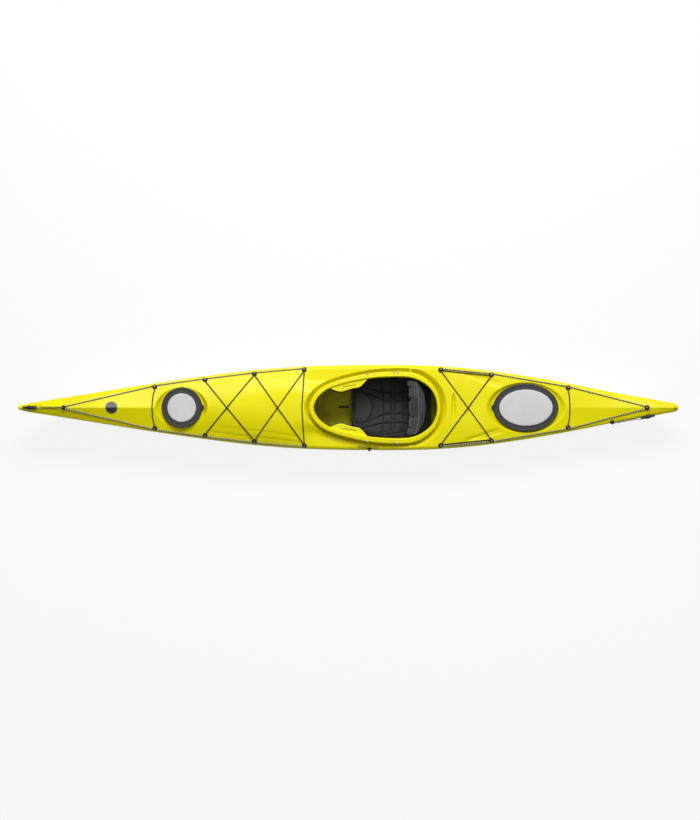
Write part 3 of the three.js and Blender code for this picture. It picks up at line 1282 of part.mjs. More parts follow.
// Strap that hangs from the front of the pan to the floor
function legStrap() {
  const top = panTop(SEAT_FRONT) - PAN_THICK / 2;
  const floor = keelHeight(0) + WALL + STRAP_THICK / 2 + GAP;
  const path = [
    [-GAP, top], [-STRAP_REACH * STRAP_TOP_SHARE, top - STRAP_THICK],
    ...strapShares.map(([along, up]) => [-STRAP_REACH * along, top * up]),
    [-STRAP_REACH * STRAP_FLOOR_SHARE, floor + STRAP_THICK * 2], [-STRAP_REACH, floor + STRAP_THICK / 2],
  ].map(([x, z]) => [SEAT_FRONT + x, z]);
  const run = { depth: STRAP_WIDTH, bevelEnabled: false };
  return new THREE.ExtrudeGeometry(strip(path, STRAP_THICK), run)
    .rotateX(Math.PI / 2).translate(0, STRAP_OFFSET + STRAP_WIDTH / 2, 0);
}
add('leg_strap', legStrap(), 'fabric');

// Foot rails along the hull's sides, each with a sliding pedal
function insideHalf(x, z) {
  const points = sideCurve(x, WALL).getPoints(INSIDE_STEPS);
  const i = points.findIndex((point) => point.y > z);
  const share = (z - points[i - 1].y) / (points[i].y - points[i - 1].y);
  return points[i - 1].x + share * (points[i].x - points[i - 1].x);
}

const railFront = BOW_BULKHEAD_FACE + BULKHEAD_THICK + RAIL_FOOT;
[['starboard', 1], ['port', -1]].forEach(([name, hand]) => {
  const back = railFront + RAIL_LENGTH;
  const inset = RAIL_FOOT + RAIL_DEEP / 2;
  const at = (x) => new THREE.Vector3(x, hand * (insideHalf(x, RAIL_HEIGHT) - inset), RAIL_HEIGHT);
  const [from, to] = [at(railFront), at(back)];
  const middle = from.clone().add(to).multiplyScalar(0.5);
  const angle = Math.atan2(to.y - from.y, to.x - from.x);
  const frame = new THREE.Matrix4().makeRotationZ(angle).setPosition(middle);
  let rail = solidOf(box(RAIL_LENGTH, RAIL_DEEP, RAIL_TALL, 0, 0, 0));
  [-1, 1].forEach((end) => {
    const foot = box(
      RAIL_FOOT_LONG, RAIL_DEEP + 2 * RAIL_FOOT, RAIL_TALL,
      (end * (RAIL_LENGTH - RAIL_FOOT_LONG)) / 2, hand * RAIL_FOOT, 0,
    );
    rail = rail.add(solidOf(foot));
  });
  rail = solidOf(geometryOf(rail).applyMatrix4(frame)).intersect(cavityForm);
  add(`foot_rail_${name}`, geometryOf(rail), 'plastic');

  const skin = 2 * (SLEEVE_WALL + PLAY);
  const sleeve = box(PEDAL_SLEEVE, RAIL_DEEP + skin, RAIL_TALL + skin, 0, 0, 0);
  const bore = box(2 * PEDAL_SLEEVE, RAIL_DEEP + 2 * PLAY, RAIL_TALL + 2 * PLAY, 0, 0, 0);
  const face = RAIL_DEEP / 2 + PLAY + SLEEVE_WALL / 2;
  const plate = box(PEDAL_THICK, PEDAL_WIDE, PEDAL_TALL, 0, -hand * (face + PEDAL_WIDE / 2), 0);
  const pedal = solidOf(sleeve).subtract(solidOf(bore)).add(solidOf(plate));
  add(`foot_pedal_${name}`, geometryOf(pedal).applyMatrix4(frame), 'plastic');
});

// Skeg in its box over a slot in the keel
const skegPivot = [SKEG_BOX_FRONT + SKEG_PIVOT_INSET, SKEG_PIVOT_HEIGHT];

function skegBore(long, radius) {
  return new THREE.CylinderGeometry(radius, radius, long, TOGGLE_SIDES)
    .translate(skegPivot[0], 0, skegPivot[1]);
}

function skegBox() {
  const outer = box(SKEG_BOX_LONG, SKEG_BOX_WIDE, SKEG_BOX_TALL, skegMiddle, 0, SKEG_BOX_TALL / 2);
  const inner = box(
    SKEG_BOX_LONG - 2 * SKEG_BOX_WALL, SKEG_BOX_WIDE - 2 * SKEG_BOX_WALL, SKEG_BOX_TALL,
    skegMiddle, 0, SKEG_BOX_TALL / 2 - SKEG_BOX_WALL,
  );
  return solidOf(outer).subtract(solidOf(inner)).intersect(cavityForm)
    .subtract(solidOf(skegBore(2 * SKEG_BOX_WIDE, SKEG_PIN_RADIUS + GAP)));
}
add('skeg_box', geometryOf(skegBox()), 'plastic');

function skegBlade() {
  const long = SKEG_LONG - SKEG_TIP_GAP;
  const outline = new THREE.Shape([
    [SKEG_HEEL, -SKEG_LOW], [-SKEG_HEEL, -SKEG_LOW / 2], [-SKEG_HEEL, SKEG_HEEL / 2],
    ...bladeShares.map(([along, up]) => [along * long, up * SKEG_DEEP - SKEG_LOW]),
  ].map(([x, z]) => new THREE.Vector2(x, z)));
  const blade = new THREE.ExtrudeGeometry(outline, { depth: SKEG_THICK, bevelEnabled: false })
    .rotateX(Math.PI / 2).translate(skegPivot[0], SKEG_THICK / 2, skegPivot[1]);
  return solidOf(blade).subtract(solidOf(skegBore(2 * SKEG_BOX_WIDE, SKEG_PIN_RADIUS + PLAY)));
}
add('skeg_blade', geometryOf(skegBlade()), 'plastic');
add('skeg_pivot_pin', skegBore(SKEG_BOX_WIDE + 2 * SKEG_BOX_WALL, SKEG_PIN_RADIUS), 'steel');

// Slider that works the skeg, in its recess on the port shoulder
const trackLow = GAP - SLIDER_RECESS_DEEP;
const trackTop = trackLow + TRACK_THICK;

function sliderTrack() {
  const plate = box(
    SLIDER_RECESS_LONG - 2 * GAP, SLIDER_RECESS_WIDE - 2 * GAP, TRACK_THICK,
    SLIDER_RECESS_PLACE, 0, (trackLow + trackTop) / 2,
  );
  const slot = box(TRACK_SLOT_LONG, TRACK_SLOT, 2 * SLIDER_RECESS_DEEP, SLIDER_RECESS_PLACE, 0, trackLow);
  return geometryOf(solidOf(plate).subtract(solidOf(slot))).applyMatrix4(sliderSeat);
}
add('skeg_track', sliderTrack(), 'plastic');

function sliderKnob() {
  const low = trackTop + GAP;
  const body = box(KNOB_LONG, KNOB_WIDE, KNOB_BASE, SLIDER_PLACE, 0, low + KNOB_BASE / 2);
  const grip = new THREE.CylinderGeometry(KNOB_WIDE / 2, KNOB_WIDE / 2, KNOB_HIGH, TOGGLE_SIDES)
    .rotateX(Math.PI / 2).translate(SLIDER_PLACE, 0, low + KNOB_HIGH / 2);
  const tongue = box(
    TONGUE_LONG, TRACK_SLOT - 2 * PLAY, TRACK_THICK + GAP, SLIDER_PLACE, 0, low - TRACK_THICK / 2,
  );
  return geometryOf(solidOf(body).add(solidOf(grip)).add(solidOf(tongue))).applyMatrix4(sliderSeat);
}
add('skeg_slider', sliderKnob(), 'plastic');

// Cable housing from the slider's recess to the skeg box, through the stern bulkhead
function cableHousing() {
  const wall = SLIDER_RECESS_PLACE + SLIDER_RECESS_LONG / 2 + WALL + GAP;
  const depth = -(WALL + CABLE_DIAMETER / 2 + CABLE_CLEAR);
  const start = new THREE.Vector3(wall, 0, depth).applyMatrix4(sliderSeat);
  const end = new THREE.Vector3(SKEG_BOX_FRONT - 2 * GAP, 0, CABLE_END_HEIGHT);
  const middle = cableShares.map(([along, across, up]) => {
    const x = start.x + along * (end.x - start.x);
    return new THREE.Vector3(x, -across * halfWidth(x), up * sheerHeight(x));
  });
  const leaving = start.clone().setX(wall + CABLE_DIAMETER * 3);
  const arriving = end.clone().setX(end.x - CABLE_DIAMETER * 2);
  const led = [start, leaving, ...middle, arriving, end];
  return new THREE.CatmullRomCurve3(led, false, 'centripetal').getPoints(CABLE_STEPS);
}
const cable = cableHousing();
add('skeg_cable_housing', tube(cable, CABLE_DIAMETER / 2), 'plastic');
add('bow_bulkhead', geometryOf(bulkhead(BOW_BULKHEAD_FACE)), 'foam');
const cableBore = boreRound(cable, CABLE_DIAMETER, GAP);
add('stern_bulkhead', geometryOf(bulkhead(STERN_BULKHEAD_FACE).subtract(cableBore)), 'foam');

// Round badge that follows the foredeck's ridge
function deckBadge() {
  const radius = BADGE_DIAMETER / 2;
  const disc = new THREE.CylinderGeometry(radius, radius, OVERRUN, BADGE_SIDES).rotateX(Math.PI / 2)
    .translate(BADGE_PLACE, 0, deckHeight(BADGE_PLACE));
  return solidOf(disc).intersect(hullForm(-GAP - BADGE_THICK, 0)).subtract(seatForm);
}
add('deck_badge', geometryOf(deckBadge()), 'badge');
add('stern_plug', plugBore(PLUG_RADIUS - GAP, PLUG_LONG).translate(0, 0, GAP), 'rubber');

export default kayak;
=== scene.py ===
"""A yellow moulded touring kayak, lit softly on a pale floor and seen from straight above.

Metres; +X runs aft, +Y to starboard, +Z up.
"""
import math

import bpy
import numpy as np
from mathutils import Matrix, Vector


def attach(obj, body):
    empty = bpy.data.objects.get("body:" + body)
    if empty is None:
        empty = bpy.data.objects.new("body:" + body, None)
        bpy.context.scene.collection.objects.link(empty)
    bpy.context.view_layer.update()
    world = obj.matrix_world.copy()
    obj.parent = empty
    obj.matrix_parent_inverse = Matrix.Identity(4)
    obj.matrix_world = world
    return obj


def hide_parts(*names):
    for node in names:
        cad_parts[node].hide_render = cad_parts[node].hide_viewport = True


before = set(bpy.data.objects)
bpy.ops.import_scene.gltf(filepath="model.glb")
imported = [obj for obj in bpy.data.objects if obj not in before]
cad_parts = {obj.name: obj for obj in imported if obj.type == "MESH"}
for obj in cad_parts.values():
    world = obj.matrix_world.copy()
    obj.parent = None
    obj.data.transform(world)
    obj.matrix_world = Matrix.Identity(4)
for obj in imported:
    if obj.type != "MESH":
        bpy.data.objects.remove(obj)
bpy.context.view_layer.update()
scene = bpy.context.scene

# Camera

FRAME_HEIGHT = 5.505  # what the picture's height takes in at the deck
DECK_LEVEL = 0.3
LENS, SENSOR = 85.0, 36.0

camera_data = bpy.data.cameras.new("camera")
camera_data.lens = LENS
camera_data.sensor_width = SENSOR
camera_data.sensor_fit = "AUTO"
camera_data.clip_end = 100.0
camera = bpy.data.objects.new("camera", camera_data)
camera.location = (0.005, -0.016, DECK_LEVEL + FRAME_HEIGHT * LENS / SENSOR)
scene.collection.objects.link(camera)
scene.camera = camera

# The hull's form

LENGTH, BEAM, DEPTH = 4.42, 0.58, 0.4
WALL = 0.005
KEEL_FLAT = 0.06
SHOULDER = 0.022
DECK_RAISE = 0.012  # of the deck beside the cockpit

# Where things stand along the hull
SLIDER_X, KNOB_X = 0.126, 0.135
SLIDER_ROOM = 0.008  # depth of the recess that the slider runs in
DISH_X = 0.702
PLUG_X = 2.186
BOW_BAIL_X, BOW_TOGGLE_X = -1.903, -2.129
STERN_BAIL_X, STERN_TOGGLE_X = 1.767, 2.004
SKEG_X, SKEG_SLOT_HALF = 1.634, 0.179
BRIDGE_X = 0.412

# Curves along the hull as (share of its length from the middle, share of half the beam or of the depth)
HALF_WIDTH = [
    (-0.5, 0.02), (-0.4985, 0.045), (-0.494, 0.072), (-0.48, 0.117), (-0.462, 0.162), (-0.439, 0.22),
    (-0.379, 0.37), (-0.318, 0.521), (-0.257, 0.66), (-0.196, 0.787), (-0.136, 0.89), (-0.075, 0.96),
    (-0.014, 0.99), (0.047, 1), (0.108, 0.99), (0.168, 0.9375), (0.229, 0.834), (0.29, 0.694),
    (0.351, 0.521), (0.411, 0.336), (0.455, 0.22), (0.483, 0.133), (0.494, 0.1), (0.4985, 0.07), (0.5, 0.035),
]
KEEL = [
    (-0.5, 0.86), (-0.494, 0.7), (-0.48, 0.49), (-0.462, 0.315), (-0.439, 0.18), (-0.41, 0.09), (-0.379, 0.05),
    (-0.3, 0.015), (-0.2, 0.003), (-0.14, 0), (0.14, 0), (0.2, 0.003), (0.3, 0.014), (0.4, 0.035),
    (0.43, 0.055), (0.455, 0.125), (0.475, 0.28), (0.49, 0.46), (0.5, 0.63),
]
SHEER = [
    (-0.5, 0.93), (-0.44, 0.862), (-0.38, 0.805), (-0.3, 0.74), (-0.2, 0.68), (-0.1, 0.643), (0, 0.625),
    (0.1, 0.615), (0.2, 0.61), (0.3, 0.62), (0.4, 0.65), (0.45, 0.68), (0.5, 0.725),
]
RIDGE = [
    (-0.5, 0.96), (-0.44, 0.98), (-0.38, 0.963), (-0.3, 0.92), (-0.2, 0.88), (-0.1, 0.85), (-0.06, 0.84),
    (0.045, 0.78), (0.15, 0.727), (0.2, 0.72), (0.25, 0.718), (0.3, 0.722), (0.35, 0.733), (0.4, 0.752),
    (0.45, 0.77), (0.5, 0.782),
]
# The power of the deck's rounding across, and how full the bilges are
CROWN = [
    (-0.5, 1), (-0.3, 1.03), (-0.23, 1.35), (-0.165, 1.9), (-0.06, 2.6), (0.1, 3), (0.2, 2.4), (0.29, 1.8),
    (0.345, 1.1), (0.4, 1), (0.5, 1),
]
FULLNESS = [
    (-0.5, 0), (-0.42, 0.08), (-0.3, 0.45), (-0.15, 0.9), (0, 1), (0.15, 0.95), (0.28, 0.6), (0.38, 0.25),
    (0.46, 0.05), (0.5, 0),
]


def smoothstep(low, high, value):
    t = np.clip((value - low) / (high - low), 0, 1)
    return t * t * (3 - 2 * t)


def smooth_min(a, b, soft):
    h = np.clip(0.5 + 0.5 * (b - a) / soft, 0, 1)
    return b * (1 - h) + a * h - soft * h * (1 - h)


def soft_plus(value, soft):
    """Zero below zero and the value above it, with a rounded corner."""
    return 0.5 * (value + np.sqrt(value * value + soft * soft))


def hermite(rows):
    """A smooth curve through rows of (place, value) that never overshoots them."""
    xs, ys = np.array(rows, float).T
    span, rise = np.diff(xs), np.diff(ys)
    step = rise / span
    slope = np.concatenate([step[:1], np.zeros(len(xs) - 2), step[-1:]])
    for i in range(1, len(xs) - 1):
        a, b = step[i - 1], step[i]
        slope[i] = 0 if a * b <= 0 else 2 * a * b / (a + b)

    def at(x):
        x = np.asarray(x, float)
        i = np.clip(np.searchsorted(xs, x, side="right") - 1, 0, len(span) - 1)
        t = np.clip((x - xs[i]) / span[i], 0, 1)
        first = slope[i] * span[i] - rise[i]
        last = slope[i + 1] * span[i] - rise[i]
        return ys[i] + rise[i] * t + t * (1 - t) * ((1 - t) * first - t * last)

    return at


def gaussian(sigma):
    reach = int(3 * sigma)
    weights = np.exp(-0.5 * (np.arange(-reach, reach + 1) / sigma) ** 2)
    return weights / weights.sum()


def softened(values, sigma, **edge):
    """Values averaged with their neighbours; both ends stay where they are unless told otherwise."""
    kernel = gaussian(sigma)
    edge = edge or {"mode": "reflect", "reflect_type": "odd"}
    return np.convolve(np.pad(values, len(kernel) // 2, **edge), kernel, mode="valid")


def travelled(path):
    """How far along a path each of its points is."""
    return np.concatenate([[0], np.cumsum(np.linalg.norm(np.diff(path, axis=0), axis=1))])


def curve_span(p0, p1, p2, p3, t):
    """The part of a Catmull-Rom curve that runs from p1 to p2."""
    d0, d1, d2 = (max(math.sqrt(np.linalg.norm(b - a)), 1e-4) for a, b in ((p0, p1), (p1, p2), (p2, p3)))
    t1 = ((p1 - p0) / d0 - (p2 - p0) / (d0 + d1) + (p2 - p1) / d1) * d1
    t2 = ((p2 - p1) / d1 - (p3 - p1) / (d1 + d2) + (p3 - p2) / d2) * d1
    return (p1 * (2 * t ** 3 - 3 * t ** 2 + 1) + t1 * (t ** 3 - 2 * t ** 2 + t)
            + p2 * (3 * t ** 2 - 2 * t ** 3) + t2 * (t ** 3 - t ** 2))


def round_turn(count):
    """Angles evenly spaced round a full turn."""
    return np.linspace(0, 2 * np.pi, count, endpoint=False)


FINE = np.linspace(-LENGTH / 2, LENGTH / 2, 4421)


def along_hull(rows, scale):
    """The same curve over the whole length, eased except at the two tips."""
    raw = hermite(rows)(FINE / LENGTH) * scale
    keep = smoothstep(2.06, 2.17, np.abs(FINE))
    values = raw * keep + softened(raw, 30) * (1 - keep)
    return lambda x: np.interp(x, FINE, values)


half_width = along_hull(HALF_WIDTH, BEAM / 2)
keel_z = along_hull(KEEL, DEPTH)
sheer_z = along_hull(SHEER, DEPTH)
ridge_z = along_hull(RIDGE, DEPTH)
crown_at = along_hull(CROWN, 1)
full_at = along_hull(FULLNESS, 1)


def shoulder_at(x):
    """Width and height of the slope between the deck and the side."""
    return np.minimum(SHOULDER, half_width(x) * 0.3)


def by_cockpit(x):
    """Fades in and out before and behind the cockpit."""
    return smoothstep(-0.42, -0.22, x) * (1 - smoothstep(0.55, 0.78, x))


def at_slider(x, y):
    """One at the recess of the skeg's slider, on the port side only."""
    return smoothstep(0.074, 0.064, np.abs(x - SLIDER_X)) * (np.asarray(y) < 0)


def shoulder_z(x, y, step):
    """Height of the shoulder, which rolls over from the deck but is a plain slope at the slider's recess."""
    straight = at_slider(x, y)
    tall = shoulder_at(x) + DECK_RAISE * by_cockpit(x) * (1 - straight)
    turned = np.sqrt(np.clip(1 - (1 - step) ** 2, 0, 1))
    return sheer_z(x) + tall * (step + 0.6 * (1 - straight) * (turned - step))


def deck_plain(x, y):
    """Height of the deck without its recesses, on the sloping shoulder band too."""
    wide, shoulder = half_width(x), shoulder_at(x)
    across = np.abs(y)
    edge = sheer_z(x) + shoulder
    rounded = np.sqrt(across ** 2 + 0.003 ** 2) - 0.003
    inner = np.clip(rounded / (wide - shoulder), 0, 1)
    top = edge + (ridge_z(x) - edge) * (1 - inner ** crown_at(x))
    # Beside the cockpit the deck lies nearly level, out to where it rolls over into the side
    inside = np.clip(wide - shoulder - across, 0, None)
    level = edge + DECK_RAISE * (1 - at_slider(x, y) * smoothstep(0.010, 0, inside)) + 0.05 * inside
    top = top + (level - top) * by_cockpit(x) * smoothstep(0.09, 0.20, across)
    step = np.clip((wide - across) / shoulder, 0, 1)
    return np.where(across > wide - shoulder, shoulder_z(x, y, step), top)


# The cockpit's outline as shares of its length and half width
COCKPIT = [
    (0, 0), (0.033, 0.315), (0.095, 0.551), (0.2, 0.728), (0.333, 0.862), (0.49, 0.965), (0.685, 1),
    (0.8, 0.965), (0.88, 0.827), (0.95, 0.597), (0.987, 0.314), (1, 0),
]
COCKPIT_FRONT, COCKPIT_LENGTH, COCKPIT_WIDTH = -0.236, 0.826, 0.41
RIM_TOP, RIM_DROP = 0.352, 0.056
# How far the rim's lip and the recess reach out from the opening: front, back and side
LIPS = LIP_FRONT, LIP_BACK, LIP_SIDE = 0.033, 0.024, 0.037
RECESS = 0.064, 0.063, 0.060


def unit_outline(count):
    """The outline evenly spaced, closed, starting at the front and going to port."""
    half = np.array(COCKPIT)
    port = half * [1, -1]
    points = np.vstack([port, half[1:-1][::-1]])
    real = points * [COCKPIT_LENGTH, COCKPIT_WIDTH / 2]
    n = len(points)
    run = []
    t = np.linspace(0, 1, 24, endpoint=False)[:, None]
    for i in range(n):
        run.append(curve_span(*(real[(i + k) % n] for k in (-1, 0, 1, 2)), t))
    line = np.vstack(run)
    closed = np.vstack([line, line[:1]])
    length = travelled(closed)
    at = np.linspace(0, length[-1], count, endpoint=False)
    even = np.column_stack([np.interp(at, length, closed[:, k]) for k in (0, 1)])
    soft = np.column_stack([softened(even[:, k], count * 0.010, mode="wrap") for k in (0, 1)])
    soft[:, 0] = (soft[:, 0] - soft[:, 0].min()) / np.ptp(soft[:, 0])
    soft[:, 1] = soft[:, 1] / np.abs(soft[:, 1]).max()
    return soft


OUTLINE = unit_outline(288)


def outline(front, back, side):
    """The cockpit's outline grown by so much at its front, back and sides."""
    long = COCKPIT_LENGTH + front + back
    return OUTLINE * [long, COCKPIT_WIDTH / 2 + side] + [COCKPIT_FRONT - front, 0]


def rim_z(x):
    """Height of the rim's top, which slopes down aft."""
    return RIM_TOP - RIM_DROP * (x - COCKPIT_FRONT) / COCKPIT_LENGTH


def signed_distance(x, y, polygon):
    """Distance from each point to a closed polygon, negative inside it."""
    nearest = np.full(x.shape, np.inf)
    inside = np.zeros(x.shape, bool)
    a, b = polygon, np.roll(polygon, -1, axis=0)
    for (ax, ay), (bx, by) in zip(a, b):
        ex, ey = bx - ax, by - ay
        t = np.clip(((x - ax) * ex + (y - ay) * ey) / (ex * ex + ey * ey), 0, 1)
        nearest = np.minimum(nearest, (x - ax - t * ex) ** 2 + (y - ay - t * ey) ** 2)
        if ey:
            inside ^= ((ay > y) != (by > y)) & (x < ex * (y - ay) / ey + ax)
    return np.where(inside, -1, 1) * np.sqrt(nearest)


def line_distance(x, y, points):
    """Distance from each point to an open line."""
    points = np.array(points, float)
    lengths = np.linalg.norm(np.diff(points, axis=0), axis=1)
    nearest = np.full(x.shape, np.inf)
    for (ax, ay), (bx, by), length in zip(points, points[1:], lengths):
        t = np.clip(((x - ax) * (bx - ax) + (y - ay) * (by - ay)) / length ** 2, 0, 1)
        nearest = np.minimum(nearest, np.hypot(x - ax - t * (bx - ax), y - ay - t * (by - ay)))
    return nearest


EVEN_TURN = round_turn(32)
# Places and sizes of the hatches; the flare is the recess's growth per rise, the tab's sign its end
HATCHES = {
    "front_hatch": dict(place=-1.121, floor=0.322, long=0.270, wide=0.270, panel=0.193,
                        recess=(0.300, 0.278), flare=(0.7, 0.5), tab=1),
    "rear_hatch": dict(place=1.188, floor=0.262, long=0.435, wide=0.320, panel=0.361,
                       recess=(0.464, 0.326), flare=(1.2, 0.5), tab=-1),
}


def hatch_wall(x, y, hatch):
    """Height of the recess's wall over each point: the rise at which its ellipse reaches the point."""
    low, high = np.full(x.shape, -0.03), np.full(x.shape, 0.14)
    for _ in range(16):  # halved each time
        rise = (low + high) / 2
        a = hatch["recess"][0] / 2 + rise * hatch["flare"][0]
        b = hatch["recess"][1] / 2 + rise * hatch["flare"][1]
        outside = ((x - hatch["place"]) / a) ** 2 + (y / b) ** 2 > 1
        low, high = np.where(outside, rise, low), np.where(outside, high, rise)
    return soft_plus((low + high) / 2, 0.004)


def near(x, y, place, long, wide):
    """Which points lie in a box round a place on the centreline."""
    return (np.abs(x - place) < long) & (np.abs(y) < wide)


def deck_height(x, y):
    """Height of the finished deck: recesses, dish, creases and flutes."""
    x, y = np.broadcast_arrays(np.asarray(x, float), np.asarray(y, float))
    z = deck_plain(x, y).copy()
    across = np.abs(y)
    wide = half_width(x)

    # Long crease lines on the foredeck, which curve out towards the cockpit
    for rows, deep in (
        ([(-0.98, 0.150), (-0.70, 0.186), (-0.45, 0.212), (-0.27, 0.236)], 0.0034),
        ([(-0.92, 0.118), (-0.70, 0.142), (-0.45, 0.172), (-0.28, 0.204)], 0.0028),
    ):
        line = hermite(rows)(x)
        start, end = rows[0][0], rows[-1][0]
        fade = smoothstep(start, start + 0.1, x) * (1 - smoothstep(end - 0.1, end, x))
        off = across - line
        z -= deep * fade * (smoothstep(-0.004, 0.004, off) * np.exp(-np.clip(off, 0, None) / 0.020))

    # Two short flutes on each side of the aft deck
    for rows, deep, reach in (
        ([(0.775, 0.208), (0.86, 0.178), (0.94, 0.150), (1.02, 0.130)], 0.0090, 0.024),
        ([(0.86, 0.203), (0.92, 0.182), (0.97, 0.166), (1.03, 0.150)], 0.0070, 0.015),
    ):
        line = hermite(rows)(x)
        share = np.clip((x - rows[0][0]) / (rows[-1][0] - rows[0][0]), 0, 1)
        fade = np.sin(np.pi * share) ** 0.6
        off = across - line
        side = np.exp(-np.clip(off - reach, 0, None) / 0.007)
        z -= deep * fade * smoothstep(-0.002, reach * fade + 0.003, off) * side

    # Hatch recesses, with a small moulded nub at each side
    for hatch in HATCHES.values():
        mask = near(x, y, hatch["place"], 0.33, 0.25)
        if mask.any():
            wall = hatch["floor"] + hatch_wall(x[mask], y[mask], hatch)
            z[mask] = smooth_min(z[mask], wall, 0.005)
            along, out = x[mask] - hatch["place"], across[mask] - hatch["wide"] / 2 - 0.009
            z[mask] += 0.006 * np.exp(-((along / 0.006) ** 2 + (out / 0.006) ** 2) ** 2)

    # A lens-shaped dish behind the cockpit
    mask = near(x, y, DISH_X, 0.03, 0.11)
    if mask.any():
        end = np.sqrt(np.clip(1 - (y[mask] / 0.096) ** 2, 0, 1))
        inside = np.clip(1 - np.abs((x[mask] - DISH_X) / (0.0145 * np.maximum(end, 0.05))), 0, 1)
        z[mask] -= 0.030 * end * np.minimum(1, inside * 0.9 + 0.1 * smoothstep(0, 0.3, inside))

    # Small marks near the stern: a raised pad and two bumps
    z += 0.003 * np.exp(-(((x - 2.075) / 0.014) ** 2 + ((across - 0.026) / 0.007) ** 2))
    z += 0.004 * np.exp(-(((x - 1.76) / 0.03) ** 2 + ((y - 0.094) / 0.008) ** 2)) * (wide > 0.1)
    # A low boss round the drain plug
    z += 0.003 * smoothstep(0.017, 0.012, np.hypot(x - PLUG_X, y))
    return z


def deck_frame(x, y, heading=(1, 0, 0)):
    """A matrix whose Z is the deck's normal at a place and whose X lies along the heading."""
    step = 0.01
    slope_x = (deck_plain(x + step, y) - deck_plain(x - step, y)) / (2 * step)
    slope_y = (deck_plain(x, y + step) - deck_plain(x, y - step)) / (2 * step)
    up = Vector((-float(slope_x), -float(slope_y), 1)).normalized()
    along = Vector(heading)
    along = (along - up * along.dot(up)).normalized()
    across = up.cross(along)
    matrix = Matrix((along, across, up)).transposed().to_4x4()
    matrix.translation = (x, y, float(deck_plain(x, y)))
    return matrix


def side_points(x, inset, steps):
    """The hull's side from the keel to the sheer for an array of stations: half breadth and height."""
    wide, low, high = half_width(x) - inset, keel_z(x) + inset, sheer_z(x)
    full = full_at(x)
    keel = np.minimum(KEEL_FLAT / 2, wide * 0.3)

    def handle(vee, whole):
        across, up = (v + (w - v) * full for v, w in zip(vee, whole))
        return wide * across, low + (high - low) * up

    points = [(keel, low), handle((0.45, 0.3), (0.86, 0.06)), handle((0.72, 0.68), (0.97, 0.3)), (wide, high)]
    t = np.linspace(0, 1, steps + 1)[None, :]
    weights = [(1 - t) ** 3, 3 * t * (1 - t) ** 2, 3 * t ** 2 * (1 - t), t ** 3]
    return [sum(w * p[k][:, None] for w, p in zip(weights, points)) for k in (0, 1)]


# Making meshes


def add_object(name, data):
    piece = bpy.data.objects.new(name, data)
    scene.collection.objects.link(piece)
    return piece


def mesh_object(name, points, faces, uv=None):
    data = bpy.data.meshes.new(name)
    data.from_pydata([tuple(p) for p in np.asarray(points, float).tolist()], [], [tuple(f) for f in faces])
    data.update()
    data.polygons.foreach_set("use_smooth", np.ones(len(data.polygons), bool))
    if uv is not None:
        layer = data.uv_layers.new(name="surface")
        loops = np.zeros(len(data.loops), np.int32)
        data.loops.foreach_get("vertex_index", loops)
        layer.data.foreach_set("uv", np.asarray(uv, np.float32)[loops].ravel())
    return add_object(name, data)


def grid_faces(rows, columns, close_rows=False, close_columns=False):
    """The four-sided faces of a grid of points, which may run round in either direction."""
    r = np.arange(rows if close_rows else rows - 1)
    c = np.arange(columns if close_columns else columns - 1)
    i, j = np.meshgrid(r, c, indexing="ij")
    ni, nj = (i + 1) % rows, (j + 1) % columns
    return np.stack([i * columns + j, ni * columns + j, ni * columns + nj, i * columns + nj], -1).reshape(-1, 4)


def border(rows, columns):
    """The outer points of a grid, in order round it."""
    index = np.arange(rows * columns).reshape(rows, columns)
    return np.concatenate([index[0], index[1:, -1], index[-1, -2::-1], index[-2:0:-1, 0]]).tolist()


def places_of(items, what="co"):
    """One row of three numbers for each vertex or face."""
    values = np.empty(len(items) * 3)
    items.foreach_get(what, values)
    return values.reshape(-1, 3)


def outward(piece):
    """Turns a closed piece's faces outward."""
    data = piece.data
    data.calc_loop_triangles()
    points = places_of(data.vertices)
    triangles = np.zeros(len(data.loop_triangles) * 3, np.int32)
    data.loop_triangles.foreach_get("vertices", triangles)
    a, b, c = (points[triangles.reshape(-1, 3)[:, k]] for k in range(3))
    if np.einsum("ij,ij->i", a, np.cross(b, c)).sum() < 0:
        data.flip_normals()
    return piece


def loft(name, rings, close_rings=False):
    """Joins rings of the same number of points."""
    rings = np.asarray(rings, float)
    rows, columns = rings.shape[:2]
    faces = [tuple(f) for f in grid_faces(rows, columns, close_rings, True)]
    if not close_rings:
        faces.append(tuple(range(columns)))
        faces.append(tuple((rows - 1) * columns + k for k in reversed(range(columns))))
    return outward(mesh_object(name, rings.reshape(-1, 3), faces))


def lathe(name, profile, steps=40, matrix=None):
    """Turns a profile of (radius, height) about Z; it starts and ends on the axis."""
    profile = np.array(profile, float)
    turn = round_turn(steps)
    inner = profile[1:-1]
    rings = np.stack([
        inner[:, 0:1] * np.cos(turn), inner[:, 0:1] * np.sin(turn), np.repeat(inner[:, 1:2], steps, 1),
    ], -1)
    points = np.vstack([rings.reshape(-1, 3), [[0, 0, profile[0, 1]], [0, 0, profile[-1, 1]]]])
    faces = [tuple(f) for f in grid_faces(len(inner), steps, False, True)]
    first, last = len(points) - 2, len(points) - 1
    base = (len(inner) - 1) * steps
    for k in range(steps):
        n = (k + 1) % steps
        faces.append((first, k, n))
        faces.append((last, base + n, base + k))
    piece = mesh_object(name, points, faces)
    if matrix is not None:
        piece.data.transform(matrix)
    return outward(piece)


